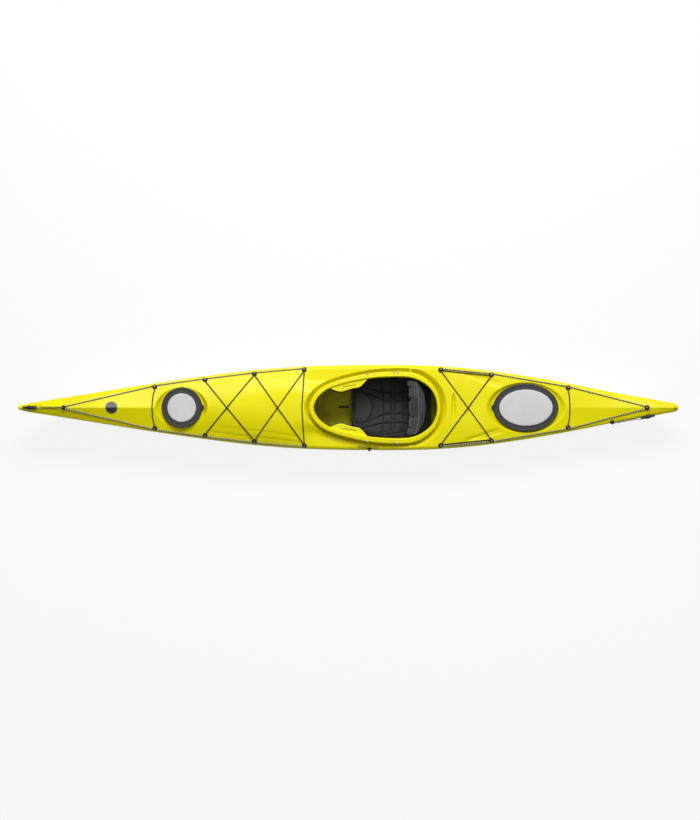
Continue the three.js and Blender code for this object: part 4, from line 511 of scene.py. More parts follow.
def tube(name, path, radius, sides=10, closed=False):
    """A tube along a path of points, with its UV running along and round it in metres."""
    path = np.array(path, float)
    count = len(path)
    if closed:
        run = np.roll(path, -1, 0) - np.roll(path, 1, 0)
    else:
        run = np.gradient(path, axis=0)
    run /= np.linalg.norm(run, axis=1)[:, None]
    normal = np.cross(run[0], [0, 0, 1.0])
    if np.linalg.norm(normal) < 0.1:
        normal = np.cross(run[0], [1.0, 0, 0])
    normals = []
    for direction in run:
        normal = normal - direction * np.dot(normal, direction)
        normal /= np.linalg.norm(normal)
        normals.append(normal.copy())
    normals = np.array(normals)
    other = np.cross(run, normals)
    radii = np.broadcast_to(np.asarray(radius, float), (count,))[:, None, None]
    turn = round_turn(sides)[None, :, None]
    rings = path[:, None] + radii * (normals[:, None] * np.cos(turn) + other[:, None] * np.sin(turn))
    uv = np.stack(np.broadcast_arrays(travelled(path)[:, None], np.abs(np.linspace(-1, 1, sides))[None, :]), -1)
    faces = [tuple(f) for f in grid_faces(count, sides, closed, True)]
    if not closed:
        faces.append(tuple(range(sides)))
        faces.append(tuple((count - 1) * sides + k for k in reversed(range(sides))))
    return outward(mesh_object(name, rings.reshape(-1, 3), faces, uv.reshape(-1, 2)))


def join(name, pieces):
    """One object of several, with their materials kept."""
    first = pieces[0]
    chosen = dict(active_object=first, selected_editable_objects=pieces, selected_objects=pieces)
    with bpy.context.temp_override(**chosen):
        bpy.ops.object.join()
    first.name = name
    first.data.name = name
    return first


def smooth_path(points, spacing):
    """Points along a Catmull-Rom curve through the given ones."""
    points = np.array(points, float)
    ends = np.vstack([2 * points[0] - points[1], points, 2 * points[-1] - points[-2]])
    out = []
    for i in range(1, len(ends) - 2):
        steps = max(1, int(round(np.linalg.norm(ends[i + 1] - ends[i]) / spacing)))
        out.append(curve_span(*ends[i - 1:i + 3], (np.arange(steps) / steps)[:, None]))
    out.append(points[-1:])
    return np.vstack(out)


def resampled(path, spacing):
    """The same path with its points evenly spaced."""
    path = np.array(path, float)
    length = travelled(path)
    count = max(2, int(round(length[-1] / spacing)) + 1)
    at = np.linspace(0, length[-1], count)
    return np.column_stack([np.interp(at, length, path[:, k]) for k in range(path.shape[1])])


def softened_columns(line, sigma):
    return np.column_stack([softened(line[:, k], sigma) for k in range(line.shape[1])])


def eased_line(line, spacing):
    return softened_columns(resampled(smooth_path(line, spacing), spacing), 2.5)


def squared_round(turn, power_x, power_y):
    """A circle drawn out towards its corners."""
    c, s = np.cos(turn), np.sin(turn)
    return np.sign(c) * np.abs(c) ** power_x, np.sign(s) * np.abs(s) ** power_y


def apply_modifiers(piece):
    """Makes what the modifiers show the piece's own mesh."""
    graph = bpy.context.evaluated_depsgraph_get()
    data = bpy.data.meshes.new_from_object(piece.evaluated_get(graph))
    piece.modifiers.clear()
    piece.data = data


# Materials


class Value:
    """A number in a node tree that adds, multiplies and so on like a number."""

    def __init__(self, net, socket):
        self.net, self.socket = net, socket

    def _math(self, kind, *others, flip=False):
        values = [*others, self] if flip else [self, *others]
        return self.net.node("ShaderNodeMath", {"operation": kind}, dict(enumerate(values)))

    def __add__(self, other):
        return self._math("ADD", other)

    __radd__ = __add__

    def __mul__(self, other):
        return self._math("MULTIPLY", other)

    __rmul__ = __mul__

    def __sub__(self, other):
        return self._math("SUBTRACT", other)

    def __rsub__(self, other):
        return self._math("SUBTRACT", other, flip=True)

    def __truediv__(self, other):
        return self._math("DIVIDE", other)

    def __rtruediv__(self, other):
        return self._math("DIVIDE", other, flip=True)

    def __pow__(self, other):
        return self._math("POWER", other)

    def sine(self):
        return self._math("SINE")

    def absolute(self):
        return self._math("ABSOLUTE")

    def least(self, other):
        return self._math("MINIMUM", other)

    def most(self, other):
        return self._math("MAXIMUM", other)

    def fraction(self):
        return self._math("FRACT")

    def step(self, low, high, start=0.0, end=1.0):
        """Goes smoothly from start to end as the number goes from low to high."""
        return self.net.node(
            "ShaderNodeMapRange", {"interpolation_type": "SMOOTHSTEP"},
            {"Value": self, "From Min": low, "From Max": high, "To Min": start, "To Max": end},
        )


class Net:
    """A material being built from nodes."""

    def __init__(self, name):
        self.material = bpy.data.materials.new(name)
        self.material.use_nodes = True
        self.tree = self.material.node_tree
        self.shader = self.tree.nodes["Principled BSDF"]
        self.out = self.tree.nodes["Material Output"]

    def node(self, kind, settings=None, inputs=None, out=0):
        made = self.tree.nodes.new(kind)
        for key, value in (settings or {}).items():
            setattr(made, key, value)
        for key, value in (inputs or {}).items():
            if isinstance(value, Value):
                self.tree.links.new(value.socket, made.inputs[key])
            else:
                made.inputs[key].default_value = value
        return Value(self, made.outputs[out])

    def place(self, out="Object"):
        return self.node("ShaderNodeTexCoord", out=out)

    def parts(self, vector):
        made = self.node("ShaderNodeSeparateXYZ", None, {0: vector})
        outputs = made.socket.node.outputs
        return [Value(self, outputs[k]) for k in range(3)]

    def scaled(self, vector, by):
        return self.node("ShaderNodeVectorMath", {"operation": "MULTIPLY"}, {0: vector, 1: by})

    def noise(self, vector, scale, detail=2.0, rough=0.5):
        return self.node("ShaderNodeTexNoise", None,
                         {"Vector": vector, "Scale": scale, "Detail": detail, "Roughness": rough})

    def cells(self, vector, scale):
        return self.node("ShaderNodeTexVoronoi", None, {"Vector": vector, "Scale": scale})

    def mix(self, factor, a, b):
        """A colour between two others."""
        made = self.tree.nodes.new("ShaderNodeMix")
        made.data_type = "RGBA"
        for index, value in ((0, factor), (6, a), (7, b)):
            if isinstance(value, Value):
                self.tree.links.new(value.socket, made.inputs[index])
            else:
                made.inputs[index].default_value = value if index == 0 else (*value, 1.0)[:4]
        return Value(self, made.outputs[2])

    def shine(self, **constants):
        """Sets plain numbers on the shader's own sockets."""
        for key, value in constants.items():
            self.shader.inputs[key.replace("_", " ")].default_value = value

    def drive(self, color, roughness, height, strength, distance):
        """Feeds the shader's colour, roughness and relief, and gives the finished material."""
        bump = self.node("ShaderNodeBump", None, {"Strength": strength, "Distance": distance, "Height": height})
        for key, value in (("Base Color", color), ("Roughness", roughness), ("Normal", bump)):
            self.tree.links.new(value.socket, self.shader.inputs[key])
        return self.material


def edge_wear(net):
    """Where the surface is convex, from 0 to 1."""
    return net.node("ShaderNodeNewGeometry", out="Pointiness").step(0.52, 0.60)


def yellow_plastic(name, inside=False):
    """Glossy hull plastic with an even peel and faint long scratches; inside, duller and dusty, and a much
    darker copy of the yellow as painted shade.
    """
    net = Net(name)
    at = net.place()
    broad = net.noise(at, 3.0, 3.0)
    grain = net.noise(at, 900.0, 2.0)
    peel = net.noise(at, 160.0, 2.0, 0.6)
    scratch = net.noise(net.scaled(at, (1.0, 60.0, 60.0)), 9.0, 3.0, 0.7)
    marks = scratch.step(0.66, 0.74)
    bright, deep = (0.875, 0.80, 0.0), (0.835, 0.745, 0.0)
    color = net.mix(broad.step(0.35, 0.7), bright, deep)
    if inside:
        mottle = net.noise(at, 14.0, 5.0, 0.7)
        dust = net.noise(at, 260.0, 3.0, 0.6)
        grime = mottle.step(0.35, 0.7) * 0.35 + dust.step(0.45, 0.75) * 0.25
        # Inside, the yellow is darkened to little more than half: painted shade of the hull's interior, with
        # real mottled dust over it
        color = net.mix(grime, (0.50, 0.46, 0.0), (0.32, 0.285, 0.005))
    else:
        color = net.mix(marks * 0.12, color, (1.0, 0.92, 0.25))
    rough = broad.step(0.3, 0.7, 0.30, 0.37) + marks * 0.15 + grain * 0.04 + (0.22 if inside else 0.0)
    net.shine(Specular_IOR_Level=0.2, IOR=1.5)
    return net.drive(color, rough, peel * 0.6 + grain * 0.4 - marks * 0.3, 0.22, 0.0006)


def moulded(name, color, rough=0.45, grain=500.0, wear=0.5):
    """Hard moulded plastic with a fine spark-eroded grain and paler, shinier edges."""
    net = Net(name)
    at = net.place()
    fine = net.noise(at, grain, 3.0, 0.6)
    broad = net.noise(at, 25.0, 3.0)
    edge = edge_wear(net) * net.noise(at, 120.0, 2.0).step(0.35, 0.7)
    pale = tuple(min(1.0, c * 2.2 + 0.03) for c in color)
    tint = net.mix(broad.step(0.3, 0.7) * 0.5, color, tuple(c * 0.75 for c in color))
    tint = net.mix(edge * wear, tint, pale)
    roughness = fine * 0.16 + broad * 0.08 + (rough - 0.12) - edge * 0.12
    return net.drive(tint, roughness, fine, 0.25, 0.0004)


def rubber(name):
    """Soft black rubber with a pale bloom and scuffs."""
    net = Net(name)
    at = net.place()
    fine = net.noise(at, 700.0, 3.0, 0.65)
    bloom = net.noise(at, 14.0, 4.0, 0.6)
    scuff = net.noise(net.scaled(at, (1.0, 3.0, 1.0)), 60.0, 4.0, 0.7).step(0.58, 0.78)
    color = net.mix(bloom.step(0.35, 0.7), (0.029, 0.029, 0.030), (0.040, 0.040, 0.040))
    color = net.mix(scuff * 0.35, color, (0.11, 0.11, 0.11))
    return net.drive(color, fine * 0.15 + bloom * 0.12 + 0.48, fine + scuff * 0.4, 0.3, 0.0004)


def hatch_plate(name):
    """The hatches' pale grey panel, with a pebbled face and some dirt."""
    net = Net(name)
    at = net.place()
    pebble = net.cells(at, 420.0)
    broad = net.noise(at, 7.0, 4.0)
    dirt = net.noise(at, 45.0, 5.0, 0.7).step(0.55, 0.8)
    color = net.mix(broad.step(0.3, 0.7), (0.665, 0.665, 0.67), (0.615, 0.615, 0.62))
    color = net.mix(dirt * 0.18, color, (0.45, 0.44, 0.42))
    return net.drive(color, pebble * 0.1 + dirt * 0.1 + 0.42, pebble, 0.35, 0.0005)


def weave(name, dark, light, pitch=0.0011, rough=0.85, sheen=0.25, melange=0.35, strength=0.5):
    """Woven cloth: over and under threads from two crossed waves, darkened almost to black along sewn grooves
    as painted shade.
    """
    net = Net(name)
    at = net.place()
    x, y, z = net.parts(at)
    turn = 2 * math.pi / pitch
    warp = ((x + z * 0.35) * turn).sine()
    weft = ((y - z * 0.25) * turn).sine()
    thread = warp * weft * 0.5 + 0.5
    slub = net.noise(net.scaled(at, (1.0, 6.0, 1.0)), 220.0, 3.0, 0.6)
    broad = net.noise(at, 12.0, 3.0)
    lint = net.cells(at, 310.0).step(0.0, 0.12, 1.0, 0.0) * net.noise(at, 33.0).step(0.5, 0.75)
    color = net.mix(thread * 0.6 + slub.step(0.45, 0.7) * melange, dark, light)
    color = net.mix(broad.step(0.3, 0.75) * 0.35, color, dark)
    color = net.mix(lint * 0.25, color, tuple(min(1, c + 0.08) for c in light))
    seam_shade = net.node("ShaderNodeAttribute", {"attribute_name": "seam_shade"}, out="Fac")
    # Painted shade: the sewn grooves darkened almost to black
    color = net.mix(seam_shade.step(0.15, 0.9) * 0.85, color, tuple(c * 0.18 for c in dark))
    net.shine(Sheen_Weight=sheen, Sheen_Roughness=0.5)
    return net.drive(color, slub * 0.1 + rough - 0.05, thread + slub * 0.5, strength, 0.0004)


def braid(name, dark, light, period, flecks, spacing):
    """Braided cord: diagonal strands from the UV along and round the cord, some of them pale, with painted
    shade in the lines between them.
    """
    net = Net(name)
    u, v, _ = net.parts(net.place("UV"))
    along = u / period
    left = ((along * 2.0 + v * 2.0) * math.pi).sine().absolute()
    right = ((along * 2.0 - v * 2.0) * math.pi).sine().absolute()
    strand = left.least(right)
    fleck = ((u / spacing + v * 0.4).fraction() - 0.5).absolute().step(0.20, 0.26, 1.0, 0.0)
    fleck = fleck * (v - 0.5).absolute().step(0.26, 0.36, 1.0, 0.0)
    fuzz = net.noise(net.place(), 900.0, 2.0)
    # The lines between the strands are darkened to 0.4 of the cord's colour: painted shade in the crevices
    color = net.mix(strand.step(0.0, 0.5) * 0.6, tuple(c * 0.4 for c in dark), dark)
    color = net.mix(fleck * flecks, color, light)
    net.shine(Sheen_Weight=0.2)
    return net.drive(color, fuzz * 0.15 + 0.68, strand.step(0.0, 0.6) + fuzz * 0.2, 0.6, 0.0004)


def foam(name):
    """Black closed-cell foam."""
    net = Net(name)
    at = net.place()
    cells = net.cells(at, 520.0)
    broad = net.noise(at, 16.0, 4.0)
    color = net.mix(cells.step(0.0, 0.5), (0.008, 0.008, 0.009), (0.026, 0.026, 0.027))
    color = net.mix(broad.step(0.4, 0.8) * 0.4, color, (0.04, 0.04, 0.04))
    return net.drive(color, cells * 0.1 + 0.85, cells, 0.5, 0.0006)


def steel(name, bright=(0.62, 0.62, 0.63), dull=(0.50, 0.50, 0.50), rough=0.18):
    net = Net(name)
    at = net.place()
    brushed = net.noise(net.scaled(at, (1.0, 14.0, 14.0)), 400.0, 3.0, 0.6)
    broad = net.noise(at, 90.0, 3.0)
    color = net.mix(broad.step(0.3, 0.7), bright, dull)
    net.shine(Metallic=1.0)
    return net.drive(color, brushed * 0.18 + rough, brushed, 0.15, 0.0002)


def badge(name, place):
    """A dark disc with a thin pale ring near its edge."""
    net = Net(name)
    at = net.place()
    x, y, _ = net.parts(at)
    dx, dy = x - place[0], y - place[1]
    out = (dx * dx + dy * dy) ** 0.5
    ring = (out - 0.0385).absolute().step(0.0008, 0.0014, 1.0, 0.0)
    fine = net.noise(at, 600.0, 3.0)
    speck = net.noise(at, 60.0, 4.0, 0.6)
    color = net.mix(speck.step(0.3, 0.7), (0.030, 0.030, 0.028), (0.042, 0.042, 0.038))
    color = net.mix(ring, color, (0.42, 0.42, 0.36))
    return net.drive(color, fine * 0.12 + 0.30, ring + fine * 0.3, 0.3, 0.0003)


YELLOW = yellow_plastic("hull_yellow")
# The inside copy is much darker than the outside: painted shade
YELLOW_INSIDE_SHADED = yellow_plastic("hull_yellow_inside_shaded", inside=True)
BLACK = moulded("fitting_black", (0.014, 0.014, 0.015))
# A darker copy of the black plastic for the seat pan: painted shade of the dark hollow behind the seat
PAN_BLACK_SHADED = moulded("pan_black_shaded", (0.005, 0.005, 0.0055), rough=0.6, wear=0.2)
CHARCOAL = moulded("shell_charcoal", (0.040, 0.040, 0.042), rough=0.5, grain=260.0)
RUBBER = rubber("hatch_rubber")
PLATE = hatch_plate("hatch_plate")
FOAM = foam("black_foam")
STEEL = steel("stainless_steel")
DARK_STEEL = steel("dulled_steel", (0.42, 0.42, 0.43), (0.30, 0.30, 0.30), 0.30)
SEAT_CLOTH = weave("seat_cloth", (0.016, 0.016, 0.0165), (0.054, 0.054, 0.055))
PANEL_CLOTH = weave("seat_panel", (0.020, 0.020, 0.0205), (0.035, 0.035, 0.036), 0.0007, 0.6, 0.1, 0.15, 0.25)
MESH_CLOTH = weave("backrest_mesh", (0.022, 0.022, 0.021), (0.105, 0.105, 0.100), 0.0030, 0.9, 0.3, 0.55, 0.8)
PIPING = weave("piping", (0.014, 0.014, 0.014), (0.05, 0.05, 0.05), 0.0009)
PALE_PIPING = weave("pale_piping", (0.13, 0.13, 0.125), (0.28, 0.28, 0.27), 0.0009)
WEBBING = weave("webbing", (0.006, 0.006, 0.006), (0.022, 0.022, 0.022), 0.0016)
LINE = braid("deck_line", (0.020, 0.020, 0.020), (0.66, 0.66, 0.62), 0.008, 1.0, 0.0165)
BUNGEE = braid("bungee", (0.020, 0.020, 0.021), (0.07, 0.07, 0.07), 0.006, 0.4, 0.009)
TOGGLE_LINE = braid("toggle_line", (0.024, 0.024, 0.024), (0.16, 0.16, 0.15), 0.007, 0.6, 0.010)


def dress(piece, material, body="hull", replaces=()):
    """Gives a piece its material, unless it has its own, its body and the nodes it stands for."""
    if material is not None:
        piece.data.materials.clear()
        piece.data.materials.append(material)
    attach(piece, body)
    if replaces:
        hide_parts(*replaces)
    return piece


# Cords

# Places of the deck eyes as shares of the length and of the half width
EYES = {
    "p2": (-0.2948, 0.83), "p3": (-0.219, 0.865), "p4": (-0.1441, 0.888), "p5": (-0.0683, 0.915),
    "p6": (0.1391, 0.904), "p7": (0.2163, 0.884), "p8": (0.333, 0.8),
}
EXACT_WIDTH = hermite(HALF_WIDTH)
HANDS = (("starboard", 1), ("port", -1))
eyes = {}
for eye, (along, across) in EYES.items():
    reach = across * float(EXACT_WIDTH(along)) * BEAM / 2
    eyes[eye + "_starboard"] = (along * LENGTH, reach)
    eyes[eye + "_port"] = (along * LENGTH, -reach)
eyes["p1"] = (BOW_BAIL_X, 0.0)
eyes["p9"] = (1.998, 0.0)

EYE_BORE, EYE_PASS = 0.007, 0.020
LINE_OUT, LINE_OFF_RIDGE, BUNGEE_IN = 0.008, 0.006, 0.005
LINE_WIDTH, BUNGEE_WIDTH = 0.0074, 0.0072
BUNGEE_LIES = BUNGEE_WIDTH / 2 + 0.0016


def on_deck(x, y, lift):
    """A point at a height above the deck."""
    return (x, y, float(deck_plain(x, y)) + lift)


def laid(stops, diameter, stride):
    """Points of a cord over the deck between places given as (x, y, height above the deck)."""
    points = []
    low = diameter / 2 + 0.0014
    for (x, y, lift), (nx, ny, _) in zip(stops, stops[1:]):
        points.append(on_deck(x, y, lift))
        steps = max(1, round(math.hypot(nx - x, ny - y) / stride))
        for k in range(1, steps):
            px, py = x + (nx - x) * k / steps, y + (ny - y) * k / steps
            points.append(on_deck(px, py, low))
    points.append(on_deck(*stops[-1]))
    return points


def towards(a, b):
    """The level direction from one place to another, of length one."""
    d = np.array(b[:2], float) - np.array(a[:2], float)
    return d / np.linalg.norm(d)


def deck_line(names, side):
    """A line through the outer bores of one side's eyes."""
    hand = "starboard" if side > 0 else "port"
    places = [eyes.get(f"{n}_{hand}", eyes.get(n)) for n in names]
    stops = []
    last = len(places) - 1
    for i, (x, y) in enumerate(places):
        run = towards(places[max(i - 1, 0)], places[min(i + 1, last)])

        def at(step, x=x, y=y, run=run):
            out = LINE_OUT if y else LINE_OFF_RIDGE
            return (x + run[0] * step, y + side * out + run[1] * step, EYE_BORE)

        if i in (0, last):
            inward = 1 if i == 0 else -1
            end = [at(inward * (EYE_PASS / 2 if y == 0 else 0)), at(inward * EYE_PASS)]
            stops += end if i == 0 else end[::-1]
        else:
            stops += [at(-EYE_PASS), at(EYE_PASS)]
    return laid(stops, LINE_WIDTH, 0.05)


def eye_turn(name, before, after):
    """Stops of a bungee that turns back at an eye."""
    x, y = eyes[name]
    centre = np.array([x, y - math.copysign(BUNGEE_IN, y)])
    entering = towards(centre, before) * EYE_PASS
    leaving = towards(centre, after) * EYE_PASS
    offsets = [entering, entering * 0.4, (entering + leaving) * 0.12, leaving * 0.4, leaving]
    return [(*(centre + o), EYE_BORE) for o in offsets]


def eye_end(name, to, off):
    """Stops of a bungee that ends in an eye."""
    x, y = eyes[name]
    centre = np.array([x, y - math.copysign(BUNGEE_IN, y)])
    run = towards(centre, to)
    return [(*(centre + run * reach), EYE_BORE) for reach in (off, EYE_PASS)]


def crossing(a, b, c, d):
    """Stops where the cord from a to b humps over the one from c to d."""
    (ax, ay), (bx, by), (cx, cy), (dx, dy) = (p[:2] for p in (a, b, c, d))
    share = ((cx - ax) * (dy - cy) - (cy - ay) * (dx - cx)) / ((bx - ax) * (dy - cy) - (by - ay) * (dx - cx))
    x, y = ax + (bx - ax) * share, ay + (by - ay) * share
    run = towards(a, b)
    hump = BUNGEE_WIDTH * 1.5 + 0.0032
    heights = {-1: hump - BUNGEE_WIDTH * 0.33, 0: hump, 1: hump - BUNGEE_WIDTH * 0.33}
    return [(x + run[0] * k * EYE_PASS, y + run[1] * k * EYE_PASS, up) for k, up in heights.items()]


def over_ridge(a, b):
    """The stop where a cord from a to b crosses the centreline."""
    return (a[0] + (b[0] - a[0]) * a[1] / (a[1] - b[1]), 0.0, BUNGEE_LIES)


def bow_lattice():
    s3, s4, s5 = (eyes[n + "_starboard"] for n in ("p3", "p4", "p5"))
    p3, p4, p5 = (eyes[n + "_port"] for n in ("p3", "p4", "p5"))
    bow = (s5[0] - 0.015, 0.0, BUNGEE_LIES)
    return laid([
        *eye_end("p3_starboard", p4, 0), over_ridge(s3, p4), *eye_turn("p4_port", s3, s5), over_ridge(p4, s5),
        *eye_turn("p5_starboard", p4, bow), bow, *eye_turn("p5_port", bow, s4), *crossing(p5, s4, p4, s5),
        *eye_turn("p4_starboard", p5, p3), *crossing(s4, p3, p4, s3), *eye_end("p3_port", s4, 0)[::-1],
    ], BUNGEE_WIDTH, 0.04)


def stern_tie():
    s6, s7, p6, p7 = (eyes[n] for n in ("p6_starboard", "p7_starboard", "p6_port", "p7_port"))
    return laid([
        *eye_end("p6_starboard", p7, 0.004), over_ridge(s6, p7), *eye_turn("p7_port", s6, p6),
        *eye_turn("p6_port", p7, s7), *crossing(p6, s7, p7, s6), *eye_turn("p7_starboard", p6, s6),
        *eye_end("p6_starboard", s7, 0.007)[::-1],
    ], BUNGEE_WIDTH, 0.04)


def across_deck(name, bow):
    """Straight across, slack enough to lie a little forward or aft at its middle."""
    s, p = eyes[name + "_starboard"], eyes[name + "_port"]
    middle = [(s[0] + bow * (1 - share ** 2), s[1] * share, BUNGEE_LIES)
              for share in (0.66, 0.33, 0.0, -0.33, -0.66)]
    return laid([*eye_end(name + "_starboard", p, 0), *middle, *eye_end(name + "_port", s, 0)[::-1]],
                BUNGEE_WIDTH, 0.02)


ROUTES = {
    f"{end}_deck_line_{hand}": deck_line(names, side)
    for end, names in (("bow", ["p1", "p2", "p3", "p4", "p5"]), ("stern", ["p6", "p7", "p8", "p9"]))
    for hand, side in HANDS
}
ROUTES.update(
    bungee_bow_front=across_deck("p2", -0.014), bungee_bow_lattice=bow_lattice(),
    bungee_stern_bow_tie=stern_tie(), bungee_stern_aft=across_deck("p8", 0.010),
)
for name, points in ROUTES.items():
    width, material, slot = (
        (BUNGEE_WIDTH, BUNGEE, "bungee") if name.startswith("bungee") else (LINE_WIDTH, LINE, "deck_line"))
    line = tube(name + "_cord", smooth_path(points, 0.006), width / 2, 10)
    dress(line, material, replaces=[name])

# Carrying toggles

BAR = 0.0152  # height of the bail's bar over the deck
TOGGLE_HALF, TOGGLE_RADIUS, TOGGLE_COLLAR, COLLAR_HALF = 0.0485, 0.009, 0.014, 0.0155
TOGGLE_CORD = 0.004
LOOP_REACH = 0.0082  # of the cord's loop from the bar

TOGGLE_PROFILE = [(0, -TOGGLE_HALF)]
for share in np.linspace(-1, 1, 85):
    place = share * TOGGLE_HALF
    body = TOGGLE_RADIUS * (1 - abs(share) ** 14) ** 0.5 if abs(share) < 1 else 0.0
    collar = math.exp(-((place / COLLAR_HALF) ** 6)) * (TOGGLE_COLLAR - TOGGLE_RADIUS)
    ribbed = COLLAR_HALF + 0.004 < abs(place) < TOGGLE_HALF - 0.006
    ribs = 0.0006 * math.sin(place * 2 * math.pi / 0.0045) * ribbed
    TOGGLE_PROFILE.append((max(body + collar + ribs, 0.0005), place))
TOGGLE_PROFILE.append((0, TOGGLE_HALF))


def bail(name, seat, node):
    """A round base with an arch of bar over it."""
    base = lathe("base", [
        (0, -0.002), (0.0155, -0.002), (0.0160, -0.001), (0.0160, 0.0022), (0.0150, 0.0034), (0.0120, 0.0040),
        (0.006, 0.0044), (0, 0.0045),
    ], 40, seat)
    half, top, bend = 0.0113, BAR, 0.0040  # half the arch's width, its height, and the radius of its corners
    arch = [(0, -half - 0.001, -0.001), (0, -half, 0.004), (0, -half, top - bend)]
    arch += [(0, -half + bend * (1 - math.cos(a)), top - bend + bend * math.sin(a)) for a in (0.5, 1.0, 1.45)]
    arch += [(x, -y, z) for x, y, z in reversed(arch)]
    path = [tuple(seat @ Vector(p)) for p in smooth_path(arch, 0.0012)]
    loop = tube("loop", path, 0.0030, 14)
    dress(join(name, [base, loop]), BLACK, replaces=[node])


def toggle_set(name, seat, x, y):
    """A toggle lying on the deck, and the loop of cord that ties it to its bail."""
    bar = seat @ Vector((0, 0, BAR))
    frame_up = deck_frame(x, y).to_3x3() @ Vector((0, 0, 1))
    rest = Vector((x, y, float(deck_plain(x, y)))) + frame_up * (TOGGLE_COLLAR + 0.001)
    along = rest - bar
    reach = along.length
    along.normalize()
    across = seat.to_3x3() @ Vector((0, 1, 0))
    across = (across - along * across.dot(along)).normalized()
    lie = Matrix((along, across, along.cross(across))).transposed().to_4x4()
    lie.translation = bar
    turned = lie @ Matrix.Translation((reach, 0, 0)) @ Matrix.Rotation(math.pi / 2, 4, "Y")
    toggle = lathe(name + "_grip", TOGGLE_PROFILE, 36, turned)
    dress(toggle, BLACK, name, [name])

    strand = TOGGLE_RADIUS + TOGGLE_CORD / 2 + 0.0003
    face = reach - COLLAR_HALF - 0.0003
    slack = face - 0.042

    # The cord: held wide at the toggle's collar, loose on the deck, and one turn round the bar
    def loose(share, side):
        place = lie @ Vector((slack * share, side * TOGGLE_CORD, 0))
        low = float(deck_plain(place.x, place.y)) + TOGGLE_CORD / 2 + 0.001
        place.z = max(low, place.z - BAR)
        return place

    def turn(degrees, side):
        a = math.radians(degrees)
        return lie @ Vector((LOOP_REACH * math.cos(a), side * TOGGLE_CORD / 2, LOOP_REACH * math.sin(a)))

    def held(place, side):
        return lie @ Vector((place, side * strand, 0))

    shares = [0.8, 0.6, 0.4, 0.3]
    turns = [(60, 1), (100, 0.7), (140, 0.3), (180, 0), (220, -0.3), (260, -0.7), (300, -1)]
    points = [held(face, 1), held(slack, 1), *(loose(s, 1) for s in shares), *(turn(d, s) for d, s in turns),
              *(loose(s, -1) for s in reversed(shares)), held(slack, -1), held(face, -1)]
    path = smooth_path([tuple(p) for p in points], 0.003)
    cord = tube(name + "_line", path, TOGGLE_CORD / 2, 10)
    dress(cord, TOGGLE_LINE, name, [name + "_cord"])


def off_centre(x, share):
    """To port by a share of the hull's half width."""
    return -share * float(EXACT_WIDTH(x / LENGTH)) * BEAM / 2


BOW_SEAT = deck_frame(BOW_BAIL_X, 0.0, (-1, 0, 0))
bail("deck_bail_bow", BOW_SEAT, "deck_eye_1")
toggle_set("bow_toggle", BOW_SEAT, BOW_TOGGLE_X, 0.0)

BAIL_Y = off_centre(STERN_BAIL_X, 0.9)
TOGGLE_Y = off_centre(STERN_TOGGLE_X, 0.8)
STERN_SEAT = deck_frame(STERN_BAIL_X, BAIL_Y, (STERN_TOGGLE_X - STERN_BAIL_X, TOGGLE_Y - BAIL_Y, 0))
bail("deck_bail_stern", STERN_SEAT, "deck_eye_10")
toggle_set("stern_toggle", STERN_SEAT, STERN_TOGGLE_X, TOGGLE_Y)

# Hull

# Stretches of the hull: from, to, and how closely its sections stand there
SPANS = [
    (-2.21, -2.13, 0.003), (-2.13, -1.35, 0.006), (-1.35, -0.93, 0.004), (-0.93, -0.33, 0.0055),
    (-0.33, 0.68, 0.004), (0.68, 0.73, 0.0025), (0.73, 0.90, 0.0045), (0.90, 1.47, 0.004),
    (1.47, 2.13, 0.006), (2.13, 2.21, 0.003),
]
SIDE_COUNT, SHOULDER_COUNT, DECK_COUNT = 22, 8, 52


def hull_stations():
    """Where the hull's sections stand."""
    spans = [np.linspace(a, b, round((b - a) / step) + 1) for a, b, step in SPANS]
    return np.unique(np.round(np.concatenate(spans), 5))


def hull_rings(x):
    """Closed sections from the keel up the port side, over the deck and down the starboard side."""
    wide, shoulder, low = half_width(x), shoulder_at(x), keel_z(x)
    across, up = side_points(x, 0.0, SIDE_COUNT)
    step = np.linspace(0, 1, SHOULDER_COUNT + 1)[1:-1]
    band_y = wide[:, None] - shoulder[:, None] * step
    share = np.linspace(-1, 1, 2 * DECK_COUNT + 1)
    deck_y = (wide - shoulder)[:, None] * share
    deck_z = deck_height(x[:, None], deck_y)
    slot = np.minimum(0.006, across[:, :1] * 0.5)
    # The skeg slider's recess in the port shoulder, and a shallow twin to starboard
    end = smoothstep(0.061, 0.057, np.abs(x - SLIDER_X))[:, None]
    in_band = smoothstep(0, 0.12, step) * smoothstep(1, 0.88, step)
    sink = SLIDER_ROOM * end * in_band[None, :] / math.sqrt(2)
    port_y, port_z = -band_y + sink, shoulder_z(x[:, None], -band_y, step) - sink
    star_y, star_z = band_y - 0.25 * sink, shoulder_z(x[:, None], band_y, step) - 0.25 * sink
    y = np.hstack([-slot, -across, port_y, deck_y, star_y[:, ::-1], across[:, ::-1], slot])
    z = np.hstack([low[:, None], up, port_z, deck_z, star_z[:, ::-1], up[:, ::-1], low[:, None]])
    # Ease the two corners of each shoulder
    corner = np.zeros(y.shape[1])
    for place in (1 + SIDE_COUNT, 1 + SIDE_COUNT + SHOULDER_COUNT):
        corner[place - 1:place + 2] = 1
    corner = np.maximum(corner, corner[::-1])
    for _ in range(3):
        for values in (y, z):
            soft = (np.roll(values, 1, 1) + 2 * values + np.roll(values, -1, 1)) / 4
            values += (soft - values) * corner
    return np.stack([np.repeat(x[:, None], y.shape[1], 1), y, z], -1)


def hatch_bore(hatch):
    """Half the length and width of the opening, and the width of the ring round it."""
    ring = (hatch["long"] - hatch["panel"]) / 2
    return hatch["panel"] / 2, hatch["wide"] / 2 - ring, ring


def ellipse(a, b, place, count=96):
    turn = round_turn(count)
    return np.column_stack([place + a * np.cos(turn), b * np.sin(turn)])


